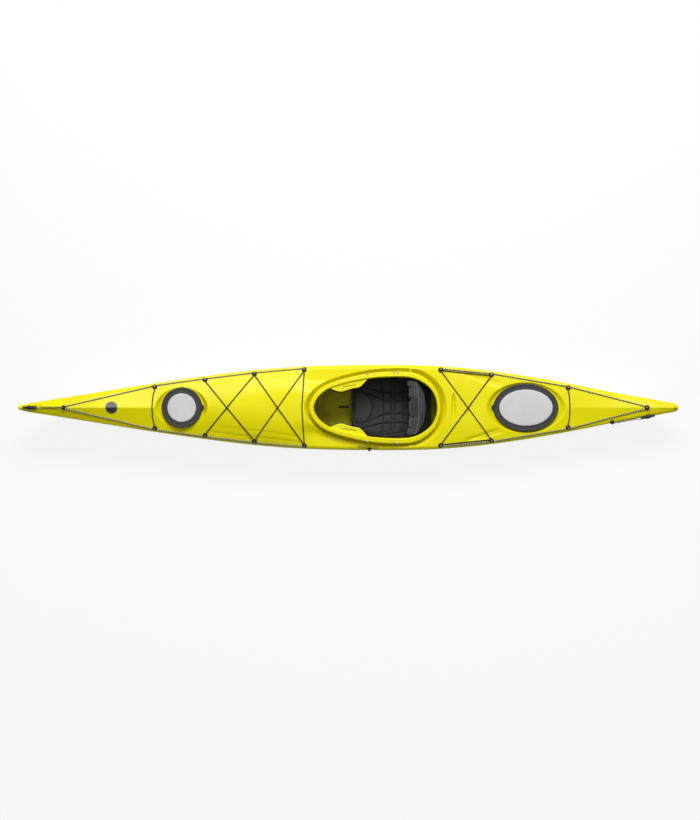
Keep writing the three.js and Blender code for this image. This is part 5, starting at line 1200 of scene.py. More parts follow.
def build_hull():
    x = hull_stations()
    rings = hull_rings(x)
    rows, columns = rings.shape[:2]
    points = rings.reshape(-1, 3).copy()
    faces = grid_faces(rows, columns, False, True)
    middle = points[faces].mean(1)
    holes = [outline(*RECESS)]
    for hatch in HATCHES.values():
        a, b, _ = hatch_bore(hatch)
        holes.append(ellipse(a + 0.002, b + 0.002, hatch["place"]))
    on_top = middle[:, 2] > 0.2
    # The skeg's slot in the keel
    gone = (np.abs(middle[:, 1]) < 0.006) & (middle[:, 2] < 0.1)
    gone &= np.abs(middle[:, 0] - SKEG_X) < SKEG_SLOT_HALF
    for polygon in holes:
        low, high = polygon.min(0) - 0.01, polygon.max(0) + 0.01
        close = on_top & (middle[:, 0] > low[0]) & (middle[:, 0] < high[0]) & (np.abs(middle[:, 1]) < high[1])
        inside = np.zeros(len(middle), bool)
        inside[close] = signed_distance(middle[close, 0], middle[close, 1], polygon) < 0
        # Points beside the hole move onto its outline
        a = polygon
        e = np.roll(polygon, -1, 0) - a
        for i in np.intersect1d(np.unique(faces[inside]), np.unique(faces[~inside])):
            here = points[i, :2]
            t = np.clip(((here - a) * e).sum(1) / (e * e).sum(1), 0, 1)
            spots = a + t[:, None] * e
            spot = spots[np.argmin(((spots - here) ** 2).sum(1))]
            points[i] = (*spot, float(deck_height(spot[0], spot[1])))
        gone |= inside
    kept = faces[~gone]
    used = np.unique(kept)
    index = np.full(len(points), -1)
    index[used] = np.arange(len(used))
    all_faces = [tuple(f) for f in index[kept]]
    all_faces.append(tuple(index[k] for k in range(columns)))
    all_faces.append(tuple(index[(rows - 1) * columns + k] for k in reversed(range(columns))))
    hull = mesh_object("hull_skin", points[used], all_faces)
    data = hull.data
    data.calc_loop_triangles()
    top = max(data.polygons, key=lambda p: p.center.z if abs(p.center.x + 0.6) < 0.1 else -1)
    if top.normal.z < 0:
        data.flip_normals()
    data.materials.append(YELLOW)
    data.materials.append(YELLOW_INSIDE_SHADED)
    wall = hull.modifiers.new("wall", "SOLIDIFY")
    wall.thickness = WALL
    wall.offset = -1
    # The inner faces take the darkened inside copy of the yellow, which is painted shade
    wall.material_offset = 1
    apply_modifiers(hull)
    dress(hull, None, replaces=["hull_shell"])


build_hull()


def swept(name, profile, place_ring):
    """A closed profile carried round a closed outline; place_ring gives the ring for a profile point."""
    return loft(name, [place_ring(*p) for p in profile], close_rings=True)


# The recess round the rim: share of its width from the lip's edge, below 0 under the lip;
# share of its height; drop below that
RECESS_PROFILE = [
    (-1.06, 0, 0), (-0.80, 0, 0), (-0.50, 0, 0), (-0.25, 0, 0), (-0.10, 0.005, 0), (0.02, 0.035, 0),
    (0.12, 0.11, 0),
    (0.24, 0.235, 0), (0.38, 0.39, 0), (0.52, 0.54, 0), (0.66, 0.69, 0), (0.78, 0.815, 0), (0.87, 0.905, 0),
    (0.94, 0.963, 0), (0.98, 0.988, 0), (1.0, 1.0, 0), (1.03, 1.0, 0.0008), (1.03, 1.0, 0.0045),
    (0.90, 0.89, 0.007),
    (0.52, 0.48, 0.007), (0.16, 0.08, 0.007), (-0.10, 0, 0.005), (-1.06, 0, 0.005),
]
RECESS_DEPTH = 0.058
FLUTE_START, FLUTE_LENGTH = 0.236, 0.160


def recess_floor(x, y):
    """Height of the recess's floor, which rises at the cockpit's sides."""
    deck = deck_plain(x, y)
    floor = deck - RECESS_DEPTH + 0.018 * smoothstep(0.10, 0.20, np.abs(y))
    at_side = smoothstep(0.19, 0.22, np.abs(y))
    # A flute at each side, and after it a small bridge from the deck to the rim
    along = np.clip((x - FLUTE_START) / FLUTE_LENGTH, 0, 1)
    floor = floor - 0.006 * at_side * smoothstep(0, 0.03, along) * (1 - along) ** 0.3
    return floor + (deck - 0.001 - floor) * at_side * np.exp(-((x - BRIDGE_X) / 0.009) ** 4)


def recess_ring(share, up, drop):
    if share > 0:
        reach = [lip + (far - lip) * share for lip, far in zip(LIPS, RECESS)]
    else:
        reach = [lip + (lip - 0.003) * share for lip in LIPS]
    line = outline(*reach)
    x, y = line.T
    floor = recess_floor(x, y)
    return np.column_stack([x, y, floor + (deck_plain(x, y) - floor) * up - drop])


dress(swept("cockpit_recess", RECESS_PROFILE, recess_ring), YELLOW)

# The rim: share of the lip's width, drop below the rim's top
RIM_PROFILE = [
    (0.00, 0.108), (0.00, 0.020), (0.00, 0.014), (0.015, 0.0095), (0.05, 0.0058), (0.12, 0.0030),
    (0.20, 0.0010),
    (0.26, 0.0001), (0.31, 0.0002), (0.35, 0.0010), (0.40, 0.0015), (0.55, 0.0015), (0.72, 0.0018),
    (0.84, 0.0026),
    (0.93, 0.0044), (0.985, 0.0068), (1.00, 0.0088), (0.985, 0.0104), (0.93, 0.0114), (0.70, 0.0110),
    (0.36, 0.0108),
    (0.29, 0.0125), (0.26, 0.0170), (0.25, 0.0240), (0.25, 0.108),
]


def rim_ring(share, drop):
    line = outline(share * LIP_FRONT, share * LIP_BACK, share * LIP_SIDE)
    return np.column_stack([line, rim_z(line[:, 0]) - drop])


dress(swept("cockpit_rim", RIM_PROFILE, rim_ring), YELLOW)

# Thigh braces and their pads

BRACE = [
    (0.11, 0.72), (0.145, 0.61), (0.184, 0.545), (0.22, 0.52), (0.262, 0.565), (0.316, 0.63), (0.37, 0.67),
    (0.385, 0.715), (0.43, 0.92),
]
port_edge = outline(0, 0, 0)
half_edge = port_edge[: len(port_edge) // 2 + 1]


def edge_at(x):
    """Half the opening's width."""
    return np.interp(x, half_edge[:, 0], -half_edge[:, 1])


def brace_sheet(name, side, lip, drop, thick, dish):
    """A plate from the rim's inner edge to the brace's own edge, rounded there."""
    rows = smooth_path([(COCKPIT_FRONT + a * COCKPIT_LENGTH, b * COCKPIT_WIDTH / 2) for a, b in BRACE], 0.003)
    inner = softened_columns(resampled(rows, 0.0035), 2.0)
    inner[:, 1] -= lip
    # The foam stays inside the rim's wall; the plate is one moulding with it
    outer_y = edge_at(inner[:, 0]) + (0.003 if lip == 0 else -0.001)
    inner[:, 1] = np.minimum(inner[:, 1], outer_y - 0.003)
    top, bottom = [], []
    for k in range(15):
        v = k / 14
        y = outer_y + (inner[:, 1] - outer_y) * v
        round_off = thick * 0.5 * (1 - math.sqrt(max(0.0, 1 - max(0.0, (v - 0.86) / 0.14) ** 2)))
        z = rim_z(inner[:, 0]) - drop - dish * math.sin(math.pi * min(1, v * 1.1)) - round_off
        top.append(np.column_stack([inner[:, 0], y * side, z]))
        bottom.append(top[-1] - [0, 0, thick - 2 * round_off])
    return loft(name, np.transpose(np.array(top + bottom[::-1]), (1, 0, 2)))


for hand, side in HANDS:
    plate = brace_sheet("thigh_brace_" + hand, side, 0.0, 0.0105, 0.006, 0.0025)
    dress(plate, YELLOW)
    pad = brace_sheet("thigh_pad_foam_" + hand, side, 0.006, 0.0195, 0.010, 0.0)
    dress(pad, FOAM, replaces=["thigh_pad_" + hand])

# Screws, and small holes drawn as black discs: painted shade


def screw_mesh():
    """A pan-headed screw with a socket."""
    head = lathe("screw", [
        (0, 0.0012), (0.0014, 0.0012), (0.0020, 0.0024), (0.0030, 0.0030), (0.0048, 0.0026), (0.0062, 0.0014),
        (0.0066, 0.0), (0.0066, -0.001), (0, -0.001),
    ], 28)
    data = head.data
    bpy.data.objects.remove(head)
    data.materials.append(STEEL)
    return data


SCREW = screw_mesh()


def put(name, data, matrix, replaces=()):
    """One more object with a mesh that others share."""
    piece = add_object(name, data)
    piece.matrix_world = matrix
    dress(piece, None, replaces=replaces)


# Each screw: place along and across, drop below the rim's top
SCREWS = [(0.120, 0.226, 0.0014), (0.300, 0.2355, 0.0014), (0.325, 0.2355, 0.0014), (-0.048, 0.1317, 0.0125)]
DOT_PROFILE = [(0, -0.001), (0.0035, -0.001), (0.0035, 0.0003), (0.0029, 0.0005), (0, 0.0004)]


def under_rim_top(x, y, drop):
    return Matrix.Translation((x, y, float(rim_z(x)) - drop))


for hand, side in HANDS:
    names = [f"rim_screw_{i + 1}_{hand}" for i in range(3)] + ["brace_screw_" + hand]
    for name, (x, y, drop) in zip(names, SCREWS):
        put(name, SCREW, under_rim_top(x, side * y, drop))
    # The brace's adjuster holes are black discs on its face: painted shade in place of real holes
    dots = []
    for share in np.linspace(0, 1, 9):
        place = under_rim_top(-0.037 + 0.080 * share, side * (0.1405 + 0.0125 * share), 0.0127)
        dots.append(lathe("dot", DOT_PROFILE, 14, place))
    dress(join("adjuster_hole_shades_" + hand, dots), BLACK)

# Deck eyes

EYE_PROFILE = [
    (0, -0.003), (0.0168, -0.003), (0.0170, 0.0), (0.0170, 0.0020), (0.0164, 0.0030), (0.0150, 0.0036),
    (0.0141, 0.0046), (0.0136, 0.0066), (0.0130, 0.0096), (0.0121, 0.0122), (0.0106, 0.0140), (0.0084, 0.0148),
    (0.0066, 0.0148), (0.0062, 0.0140), (0, 0.0138),
]


def eye_mesh():
    """A domed eye with its screw and the four lips of its two bores."""
    dome = lathe("dome", EYE_PROFILE, 40)
    dome.data.materials.append(BLACK)
    screw = add_object("eye_screw", SCREW.copy())
    screw.data.transform(Matrix.Translation((0, 0, 0.0138)) @ Matrix.Scale(0.80, 4))
    screw.data.materials[0] = DARK_STEEL
    lips = []
    for side, width in ((LINE_OUT, LINE_WIDTH), (-BUNGEE_IN, BUNGEE_WIDTH)):
        for end in (-1, 1):
            reach, bore = math.sqrt(0.0138 ** 2 - side ** 2), width / 2 + 0.0009
            ring = [(end * reach, side + bore * math.cos(a), EYE_BORE + bore * math.sin(a))
                    for a in round_turn(20)]
            lip = tube("lip", ring, 0.0011, 8, closed=True)
            lip.data.materials.append(BLACK)
            lips.append(lip)
    piece = join("eye", [dome, screw, *lips])
    data = piece.data
    bpy.data.objects.remove(piece)
    return data


EYE = eye_mesh()
for key, (x, y) in eyes.items():
    if key == "p1":
        continue
    side = -1 if y < 0 else 1
    seat = deck_frame(x, y, (1, 0, 0))
    if side < 0:
        seat = seat @ Matrix.Rotation(math.pi, 4, "Z")
    put("deck_fitting_" + key, EYE, seat, ["deck_eye_" + key[1:]])

# Hatches


def hatch_parts(name, hatch):
    """The collar in the deck, the rubber cover with its pull tab, and the pale panel."""
    a, b, ring = hatch_bore(hatch)
    place, floor = hatch["place"], hatch["floor"]

    def at(grow, rise):
        """The ring for a profile point: how far outside the bore and how high, in millimetres."""
        grow, rise = grow / 1000, rise / 1000
        return np.column_stack([ellipse(a + grow, b + grow, place, 128), np.full(128, floor + rise)])

    reach = ring * 1000
    flange = reach - 6.5
    collar = swept(name + "_collar_ring", [
        (0, 0.3), (0, 17), (0.6, 19.2), (2.4, 20), (4.8, 20), (6.4, 19.2), (7, 17.4), (7, 15), (8.2, 14.2),
        (8.2, 12.8), (7, 12), (7, 5), (8, 3.6), (10, 3.3), (flange - 1, 3.3), (flange, 2.4), (flange, 0.3),
    ], at)
    dress(collar, BLACK, replaces=[name + "_collar"])

    cover = swept(name + "_rubber", [
        (-7, 19.3), (-7, 22), (0, 22), (0, 27.4), (0.9, 28.5), (2.6, 29.0), (4.4, 28.6), (6.0, 27.9), (9, 27.5),
        (reach * 0.5, 27.2), (reach - 11, 27.4), (reach - 9.4, 28.0), (reach - 6.5, 28.3), (reach - 3.6, 27.7),
        (reach - 1.3, 26.0), (reach - 0.1, 23.4), (reach + 0.2, 20), (reach, 8), (reach + 0.6, 5.4),
        (reach + 1.6, 4.0),
        (reach + 1.6, 2.2), (reach + 0.6, 0.9), (reach - 1.5, 0.3), (reach - 5, 0.3), (reach - 6, 1.2),
        (reach - 6, 20.5), (-3.5, 20.5),
    ], at)
    end = place + hatch["tab"] * hatch["long"] / 2
    rings = []
    for share in np.linspace(0, 1, 11):
        out = -0.004 + 0.018 * share
        wide = 0.020 * math.sqrt(max(0.0, 1 - max(0.0, (share - 0.35) / 0.68) ** 2)) + 0.001
        thick = 0.0032 * (1 - 0.4 * share) + 0.0008 * math.cos(share * 20)
        flat = squared_round(EVEN_TURN, 0.5, 0.7)
        rings.append(np.column_stack([
            np.full(32, end + hatch["tab"] * out), wide * flat[0],
            floor + 0.0095 + 0.003 * share + thick * flat[1],
        ]))
    piece = join(name + "_rubber", [cover, loft("tab", rings)])
    dress(piece, RUBBER, name, [name + "_ring"])

    rows = []
    drops = {0.0: 0, 0.25: 0, 0.5: 0, 0.7: 0, 0.85: 0, 0.93: 0, 0.965: 0.5, 0.985: 1.3, 1.0: 2.8}
    for share, drop in drops.items():
        dome = 1.2 * (1 - share ** 2)
        line = ellipse((a - 0.0004) * share, (b - 0.0004) * share, place, 128)
        rows.append(np.column_stack([line, np.full(128, floor + (27.2 + dome - drop) / 1000)]))
    rows.append(np.column_stack([ellipse(a - 0.0004, b - 0.0004, place, 128), np.full(128, floor + 0.0223)]))
    dress(loft(name + "_plate", rows), PLATE, name, [name + "_panel"])


for name, hatch in HATCHES.items():
    hatch_parts(name, hatch)

# Seat

SEAT_FRONT, SEAT_BACK, SEAT_HALF, SEAT_FRONT_HALF = 0.015, 0.404, 0.200, 0.128
seat_half = hermite([
    (SEAT_FRONT, SEAT_FRONT_HALF), (SEAT_FRONT + 0.400 * 0.36, SEAT_HALF), (SEAT_BACK, SEAT_HALF),
])


def pan_top(x):
    """Height of the pan's top, which falls from its front to its back."""
    return 0.047 + 0.030 * (SEAT_BACK - np.clip(x, None, SEAT_BACK)) / (SEAT_BACK - SEAT_FRONT)


# Sewn lines of the seat's starboard half: (x, y) from above, and how deep each is drawn in
D_EDGE = [
    (0.041, 0.101), (0.083, 0.101), (0.104, 0.096), (0.124, 0.083), (0.142, 0.060), (0.152, 0.032), (0.155, 0),
]
D_OUTER = [
    (0.041, 0.110), (0.084, 0.110), (0.108, 0.104), (0.131, 0.089), (0.150, 0.064), (0.161, 0.034), (0.164, 0),
]
SEAT_SEAMS = [
    ([(0.060, 0.152), (0.079, 0.1448), (0.150, 0.125), (0.228, 0.1083), (0.290, 0.105), (0.359, 0.1047),
      (0.404, 0.113)], 1.0),
    ([(0.110, 0.104), (0.160, 0.080), (0.221, 0.0537), (0.2356, 0.047), (0.30, 0.045), (0.374, 0.0465),
      (0.404, 0.05)], 1.0),
    ([(0.217, 0.20), (0.2298, 0.101), (0.232, 0.045), (0.232, 0)], 1.25),
    ([(0.281, 0.20), (0.286, 0.1), (0.286, 0)], 0.9),
    ([(0.304, 0.20), (0.307, 0.1), (0.307, 0)], 0.9),
    ([(0.357, 0.18), (0.367, 0.09), (0.371, 0.046), (0.371, 0)], 1.0),
    ([(0.216, 0.184), (0.285, 0.180), (0.359, 0.168), (0.404, 0.160)], 0.7),
]
BUTTON_X, BUTTON_Y = 0.268, 0.044


def both_sides(line):
    """A line that ends on the centre, with its mirror image."""
    return line + [(x, -y) for x, y in line[::-1]][1:]


def seams(x, y, rows, soft, puff):
    """How deep the sewn lines are at each place, and how full the cells between them are."""
    groove, nearest = np.zeros(x.shape), np.full(x.shape, 1.0)
    for line, weight in rows:
        away = line_distance(x, np.abs(y), line)
        groove = np.maximum(groove, weight * np.exp(-(away / soft) ** 2))
        nearest = np.minimum(nearest, away)
    return groove, 1 - np.exp(-nearest / puff)


def mark_seam_shade(piece, values):
    """Keeps how deep in a sewn line each point is, for the painted shade that darkens the cloth's colour there.
    """
    layer = piece.data.attributes.new("seam_shade", "FLOAT", "POINT")
    layer.data.foreach_set("value", np.clip(values, 0, 1).astype(np.float32))


def wobble(x, y, seed, scale):
    """A smooth pseudo-random field from a few waves."""
    rng = np.random.default_rng(seed)
    out = np.zeros(np.shape(x))
    for _ in range(7):
        angle, phase = rng.uniform(0, 2 * math.pi, 2)
        wave = rng.uniform(0.6, 1.7) / scale
        out = out + np.sin((x * math.cos(angle) + y * math.sin(angle)) * wave * 2 * math.pi + phase)
    return out / 7


def inflate(piece, held, pressure, slack, cap):
    """Blows the cloth of a closed pad up between its sewn lines, each point by the cap at most.

    held has a number for each point, from 0, free, to 1, sewn down. The new points come back.
    """
    before = places_of(piece.data.vertices)
    sewn = piece.vertex_groups.new(name="sewn")
    levels = np.round(np.clip(held, 0, 1) * 4).astype(int)
    for level in range(1, 5):
        sewn.add(np.flatnonzero(levels == level).tolist(), level / 4, "REPLACE")
    last_frame = 20
    cloth = piece.modifiers.new("cloth", "CLOTH")
    settings = cloth.settings
    settings.quality = 3
    settings.mass = 0.02
    settings.tension_stiffness = settings.compression_stiffness = 20
    settings.shear_stiffness = 8
    settings.bending_stiffness = 0.6
    settings.shrink_min = -slack
    settings.use_pressure = True
    settings.uniform_pressure_force = pressure
    settings.vertex_group_mass = "sewn"
    settings.effector_weights.gravity = 0
    cloth.collision_settings.use_collision = False
    cloth.point_cache.frame_start, cloth.point_cache.frame_end = 1, last_frame
    for frame_number in range(1, last_frame + 1):
        scene.frame_set(frame_number)
    settled = piece.evaluated_get(bpy.context.evaluated_depsgraph_get())
    move = places_of(settled.data.vertices) - before
    piece.modifiers.remove(cloth)
    piece.vertex_groups.remove(sewn)
    scene.frame_set(1)
    far = np.linalg.norm(move, axis=1, keepdims=True)
    # Eased towards the cap, so that no edge shows where it takes hold
    after = before + move / np.maximum(far, 1e-9) * cap * np.tanh(far / cap)
    piece.data.vertices.foreach_set("co", after.ravel())
    piece.data.update()
    return after


def seat_front_at(y):
    """The seat's front edge, which curves back to the sides."""
    return SEAT_FRONT + 0.016 * (np.abs(y) / SEAT_FRONT_HALF) ** 2


def build_seat_pad():
    """The sewn and stuffed cushion; gives a function for the height of its top."""
    rows, columns = 130, 132
    # Rows and columns stand closer together near the edges
    u = np.linspace(0, 1, rows)
    u = u - 0.02 * np.sin(2 * np.pi * u)
    v = np.linspace(-1, 1, columns)
    v = np.sin(v * np.pi / 2) * 0.25 + v * 0.75
    U, V = np.meshgrid(u, v, indexing="ij")
    base_x = SEAT_FRONT + U * (SEAT_BACK - SEAT_FRONT)
    Y = V * seat_half(base_x)
    X = seat_front_at(Y) * (1 - U) + (SEAT_BACK + 0.004 * (V ** 2)) * U
    floor = pan_top(base_x) + 0.0006
    end = np.sqrt(np.clip(1 - np.abs(2 * U - 1) ** 10, 0, 1))
    edge = np.sqrt(np.clip(1 - np.abs(V) ** 9, 0, 1)) * end
    rise = 0.026 * (0.35 + 0.65 * edge) + 0.009 * edge * (1 - V ** 2)
    # The sides rise towards the hips, and there is a shallow scoop for each thigh
    rise += 0.006 * np.abs(V) ** 3 * smoothstep(0.1, 0.4, U) * edge
    groove, puff = seams(X, Y, SEAT_SEAMS, 0.0046, 0.020)
    behind_d = smoothstep(0.150, 0.19, X + 0.9 * np.clip(np.abs(Y) - 0.10, 0, 1))
    rise += edge * behind_d * (0.0050 * puff - 0.0075 * groove)
    rise -= edge * (1 - behind_d) * 0.0060 * groove
    panel, _ = seams(X, Y, [(D_EDGE, 1.0)], 0.0032, 0.01)
    rand, _ = seams(X, Y, [(D_OUTER, 1.0)], 0.0032, 0.01)
    rise -= 0.0050 * panel * edge
    rise -= 0.0055 * rand * edge
    # A line across behind the front edge, and a roll before it
    front_line = np.exp(-((X - seat_front_at(Y) - 0.019) / 0.0026) ** 2)
    rise -= 0.0060 * front_line * edge
    rise += 0.0030 * np.exp(-((X - seat_front_at(Y) - 0.010) / 0.006) ** 2) * edge
    # A pit with small folds round it at each button
    for by in (BUTTON_Y, -BUTTON_Y):
        away = np.hypot(X - BUTTON_X, Y - by)
        rise -= 0.010 * np.exp(-(away / 0.009) ** 2)
        turn = np.arctan2(Y - by, X - BUTTON_X)
        rise += 0.0012 * np.cos(turn * 7 + 0.6) * np.exp(-((away - 0.016) / 0.008) ** 2)
    smooth_zone = smoothstep(0.16, 0.2, X)
    rise += edge * smooth_zone * (0.0016 * wobble(X, Y, 5, 0.035) + 0.0008 * wobble(X, Y, 8, 0.012))
    rise += edge * 0.0006 * wobble(X, Y, 3, 0.08)
    top = np.stack([X, Y, floor + rise], -1)
    # Walls tuck in under the cushion
    under = np.stack([X, Y * 0.975, floor], -1)
    under[..., 0] = X + (0.5 - U) * 0.012
    points = np.vstack([top.reshape(-1, 3), under.reshape(-1, 3)])
    faces = [tuple(f) for f in grid_faces(rows, columns)]
    off = rows * columns
    faces += [tuple(off + k for k in reversed(f)) for f in faces]
    loop = border(rows, columns)
    faces += [(p, q, off + q, off + p) for p, q in zip(loop, loop[1:] + loop[:1])]
    pad = outward(mesh_object("seat_cushion", points, faces))
    sewn = np.maximum.reduce([groove, panel, rand, front_line]) * edge
    # The groove depths feed the painted shade in the cloth's seams
    mark_seam_shade(pad, np.concatenate([sewn.ravel(), np.zeros(sewn.size)]))
    tufts = np.exp(-(np.hypot(X - BUTTON_X, np.abs(Y) - BUTTON_Y) / 0.008) ** 2)
    stiff = np.maximum.reduce([smoothstep(0.25, 0.6, sewn), smoothstep(0.3, 0.7, tufts), 0.6 * (1 - behind_d)])
    stiff[[0, -1], :] = stiff[:, [0, -1]] = 1
    settled = inflate(pad, np.concatenate([stiff.ravel(), np.ones(stiff.size)]), 10, 0.035, 0.007)
    top = settled[:rows * columns].reshape(rows, columns, 3)
    data = pad.data
    for material in (SEAT_CLOTH, PANEL_CLOTH):
        data.materials.append(material)
    centres = places_of(data.polygons, "center")
    inside = signed_distance(centres[:, 0], centres[:, 1], np.array(both_sides(D_EDGE))) < 0
    data.polygons.foreach_set("material_index", inside.astype(np.int32))
    dress(pad, None, replaces=["seat_pad"])

    def height(x, y):
        k = np.argmin((top[..., 0] - x) ** 2 + (top[..., 1] - y) ** 2)
        return top.reshape(-1, 3)[k, 2]

    return height


seat_height = build_seat_pad()


def on_seat(line, lift):
    """The points of a line laid on the cushion."""
    return [(x, y, seat_height(x, y) + lift) for x, y in line]


def seat_trim():
    """Piping along the cushion's lines and edges, and its two buttons."""
    path = eased_line(on_seat(eased_line(both_sides(D_OUTER), 0.004), 0.0012), 0.003)
    dress(tube("seat_panel_piping", path, 0.0016, 8), PIPING)
    front = [(float(seat_front_at(y)) + 0.003, y) for y in np.linspace(-0.126, 0.126, 25)]
    path = eased_line([(x, y, float(pan_top(x)) + 0.0245) for x, y in front], 0.003)
    dress(tube("seat_front_piping", path, 0.0022, 8), PIPING)
    for hand, side in HANDS:
        places = [(x, side * (float(seat_half(x)) - 0.004)) for x in np.linspace(0.03, 0.400, 40)]
        path = eased_line(on_seat(places, 0.001), 0.004)
        dress(tube("seat_side_piping_" + hand, path, 0.0022, 8), PIPING)
        place = (BUTTON_X, side * BUTTON_Y, seat_height(BUTTON_X, side * BUTTON_Y))
        button = lathe("seat_button_" + hand, [
            (0, -0.002), (0.0072, -0.002), (0.0080, 0.0002), (0.0074, 0.0026), (0.0050, 0.0044), (0, 0.0052),
        ], 28, Matrix.Translation(place))
        dress(button, BLACK)


seat_trim()

# Backrest

BACK_PIVOT = Vector((0.440, 0, 0.092))
BACK_FRAME = Matrix.Translation(BACK_PIVOT) @ Matrix.Rotation(math.radians(10), 4, "Y")
BACK_SEAMS = [
    ([(0.0, 0.116), (0.11, 0.124), (0.19, 0.140)], 1.0),
    ([(0.0, 0.048), (0.11, 0.052), (0.19, 0.064)], 1.0),
    ([(0.062, 0.2), (0.062, 0.0)], 0.8),
    ([(0.118, 0.2), (0.118, 0.0)], 0.8),
]


def back_wrap(y, z):
    """How far forward the backrest's sides curve at a place, in its upright frame."""
    rise = np.clip((z + 0.0076) / 0.0741, 0, 1)
    return 0.036 * rise * np.abs(y / 0.182) ** 3.5


def build_back_pad():
    """Rows go up the front, over the roll at the top and down to the shell."""
    rows, columns = 96, 116
    v = np.linspace(-1, 1, columns)
    v = np.sin(v * np.pi / 2) * 0.3 + v * 0.7
    front_rows = 74
    rings = []
    for i in range(rows):
        if i < front_rows:
            up = i / (front_rows - 1)
            z = 0.014 + up * 0.150
            roll = smoothstep(0.45, 1.0, up) * 0.020
            thick = 0.034 * (0.45 + 0.55 * math.sqrt(max(0.0, 1 - (1 - min(1, up / 0.12)) ** 2))) + roll
            x = -thick
        else:
            turn = (i - front_rows + 1) / (rows - front_rows) * math.pi
            thick = 0.054
            x = -thick / 2 - (thick / 2) * math.cos(turn)
            z = 0.164 + 0.027 * math.sin(turn)
            up = 1.0
        half = (0.318 + 0.046 * min(1, up * 2)) / 2 + 0.004 * smoothstep(0.6, 1.0, up)
        y = v * half
        edge = np.sqrt(np.clip(1 - np.abs(v) ** 8, 0, 1))
        xs = x * (0.30 + 0.70 * edge) - back_wrap(y, z)
        zs = np.full(columns, z) - 0.012 * np.abs(v) ** 4 * smoothstep(0.4, 1.0, up)
        rings.append(np.stack([xs, y, zs], -1))
    grid = np.array(rings)
    # Length up the front and over the roll, for the seams
    travel = travelled(grid[:, columns // 2])
    T = np.repeat(travel[:, None], columns, 1)
    groove, puff = seams(T, grid[..., 1], BACK_SEAMS, 0.0048, 0.020)
    normal = np.cross(np.gradient(grid, axis=0), np.gradient(grid, axis=1))
    normal /= np.linalg.norm(normal, axis=-1)[..., None] + 1e-12
    flip = -1 if normal[front_rows // 2, columns // 2, 0] > 0 else 1
    edge = np.sqrt(np.clip(1 - np.abs(v) ** 8, 0, 1))[None, :]
    edge = edge * smoothstep(0, 0.02, T) * smoothstep(0, 0.02, travel[-1] - T)
    lift = 0.0050 * puff - 0.0075 * groove + 0.0014 * wobble(T, grid[..., 1], 11, 0.04)
    lift += 0.0007 * wobble(T, grid[..., 1], 12, 0.013)
    grid = grid + normal * flip * (lift * edge)[..., None]
    grid[..., 0] = np.minimum(grid[..., 0], -back_wrap(grid[..., 1], grid[..., 2]) - 0.0004)
    points = grid.reshape(-1, 3)
    faces = [tuple(f) for f in grid_faces(rows, columns)]
    # Closed by a plain back
    centre = np.stack([grid[0], grid[-1]]).mean((0, 1))
    loop = border(rows, columns)
    faces += [(q, p, len(points)) for p, q in zip(loop, loop[1:] + loop[:1])]
    points = np.vstack([points, [centre]])
    pad = outward(mesh_object("backrest_cushion", points, faces))
    # The groove depths feed the painted shade in the cloth's seams
    mark_seam_shade(pad, np.append((groove * edge).ravel(), 0))
    stiff = smoothstep(0.25, 0.6, groove * edge)
    stiff[[0, -1], :] = stiff[:, [0, -1]] = 1
    settled = inflate(pad, np.append(stiff.ravel(), 1), 10, 0.030, 0.007)
    settled[:, 0] = np.minimum(settled[:, 0], -back_wrap(settled[:, 1], settled[:, 2]) - 0.0004)
    settled[-1] = centre
    pad.data.vertices.foreach_set("co", settled.ravel())
    grid = settled[:-1].reshape(grid.shape)
    pad.data.transform(BACK_FRAME)
    data = pad.data
    for material in (SEAT_CLOTH, MESH_CLOTH):
        data.materials.append(material)
    index = np.zeros(len(data.polygons), np.int32)
    cells = (rows - 1) * (columns - 1)
    middle_t = (T[:-1, :-1] + T[1:, 1:]) / 2
    middle_y = np.abs((grid[:-1, :-1, 1] + grid[1:, 1:, 1]) / 2)
    side_edge = np.interp(middle_t, [0, 0.11, 0.19, 1], [0.048, 0.052, 0.064, 0.064])
    mesh_zone = (middle_t > 0.118) & (middle_y > side_edge) & (middle_y < 0.176)
    index[:cells] = mesh_zone.ravel()
    data.polygons.foreach_set("material_index", index)
    dress(pad, None, "backrest", ["backrest_pad"])
    rear = grid[int(rows * 0.93)]
    line = [tuple(BACK_FRAME @ Vector(p)) for p in rear[4:-4:4] + [0.003, 0, 0.002]]
    dress(tube("backrest_piping", eased_line(line, 0.004), 0.0022, 8), PALE_PIPING, "backrest")


build_back_pad()


def build_back_shell():
    """The moulded shell behind the backrest's cushion, with a lug at each end of its axis."""
    rings = []
    across = np.linspace(-1, 1, 41)
    # Share of the height, share of the width, share of the depth
    levels = [
        (-0.04, 0.92, 0.60), (-0.02, 0.93, 0.68), (0.0, 0.935, 0.72), (0.08, 0.955, 0.78), (0.16, 0.97, 0.85),
        (0.25, 0.985, 0.93), (0.35, 1, 1), (0.6, 1, 1), (0.78, 1, 1), (0.86, 0.998, 0.985),
        (0.92, 0.99, 0.95), (0.96, 0.975, 0.89), (0.985, 0.955, 0.80), (1.0, 0.93, 0.66),
    ]
    for up, wide, deep in levels:
        y, z = across * 0.182 * wide, np.full(len(across), up * 0.190)
        ripple = 0.0014 * np.cos(across * 11) * (0.3 < up)
        back = (0.012 + 0.038 * (1 - across ** 2) + ripple) * deep - back_wrap(y, z)
        front = np.column_stack([0.0004 - back_wrap(y, z), y, z])[::-1]
        rings.append(np.vstack([np.column_stack([back, y, z]), front]))
    shell = loft("backrest_frame", rings)
    shell.data.transform(BACK_FRAME)
    lugs = []
    for side in (1, -1):
        ring = []
        for y, r in ((0.164, 0.011), (0.165, 0.0125), (0.1805, 0.0125), (0.1815, 0.011)):
            turn = round_turn(28)
            ring.append(np.column_stack([0.004 + r * np.cos(turn), np.full(28, side * y), r * np.sin(turn)]))
        lug = loft("lug", ring)
        lug.data.transform(BACK_FRAME)
        lugs.append(lug)
    piece = join("backrest_frame", [shell, *lugs])
    dress(piece, CHARCOAL, "backrest", ["backrest_shell"])


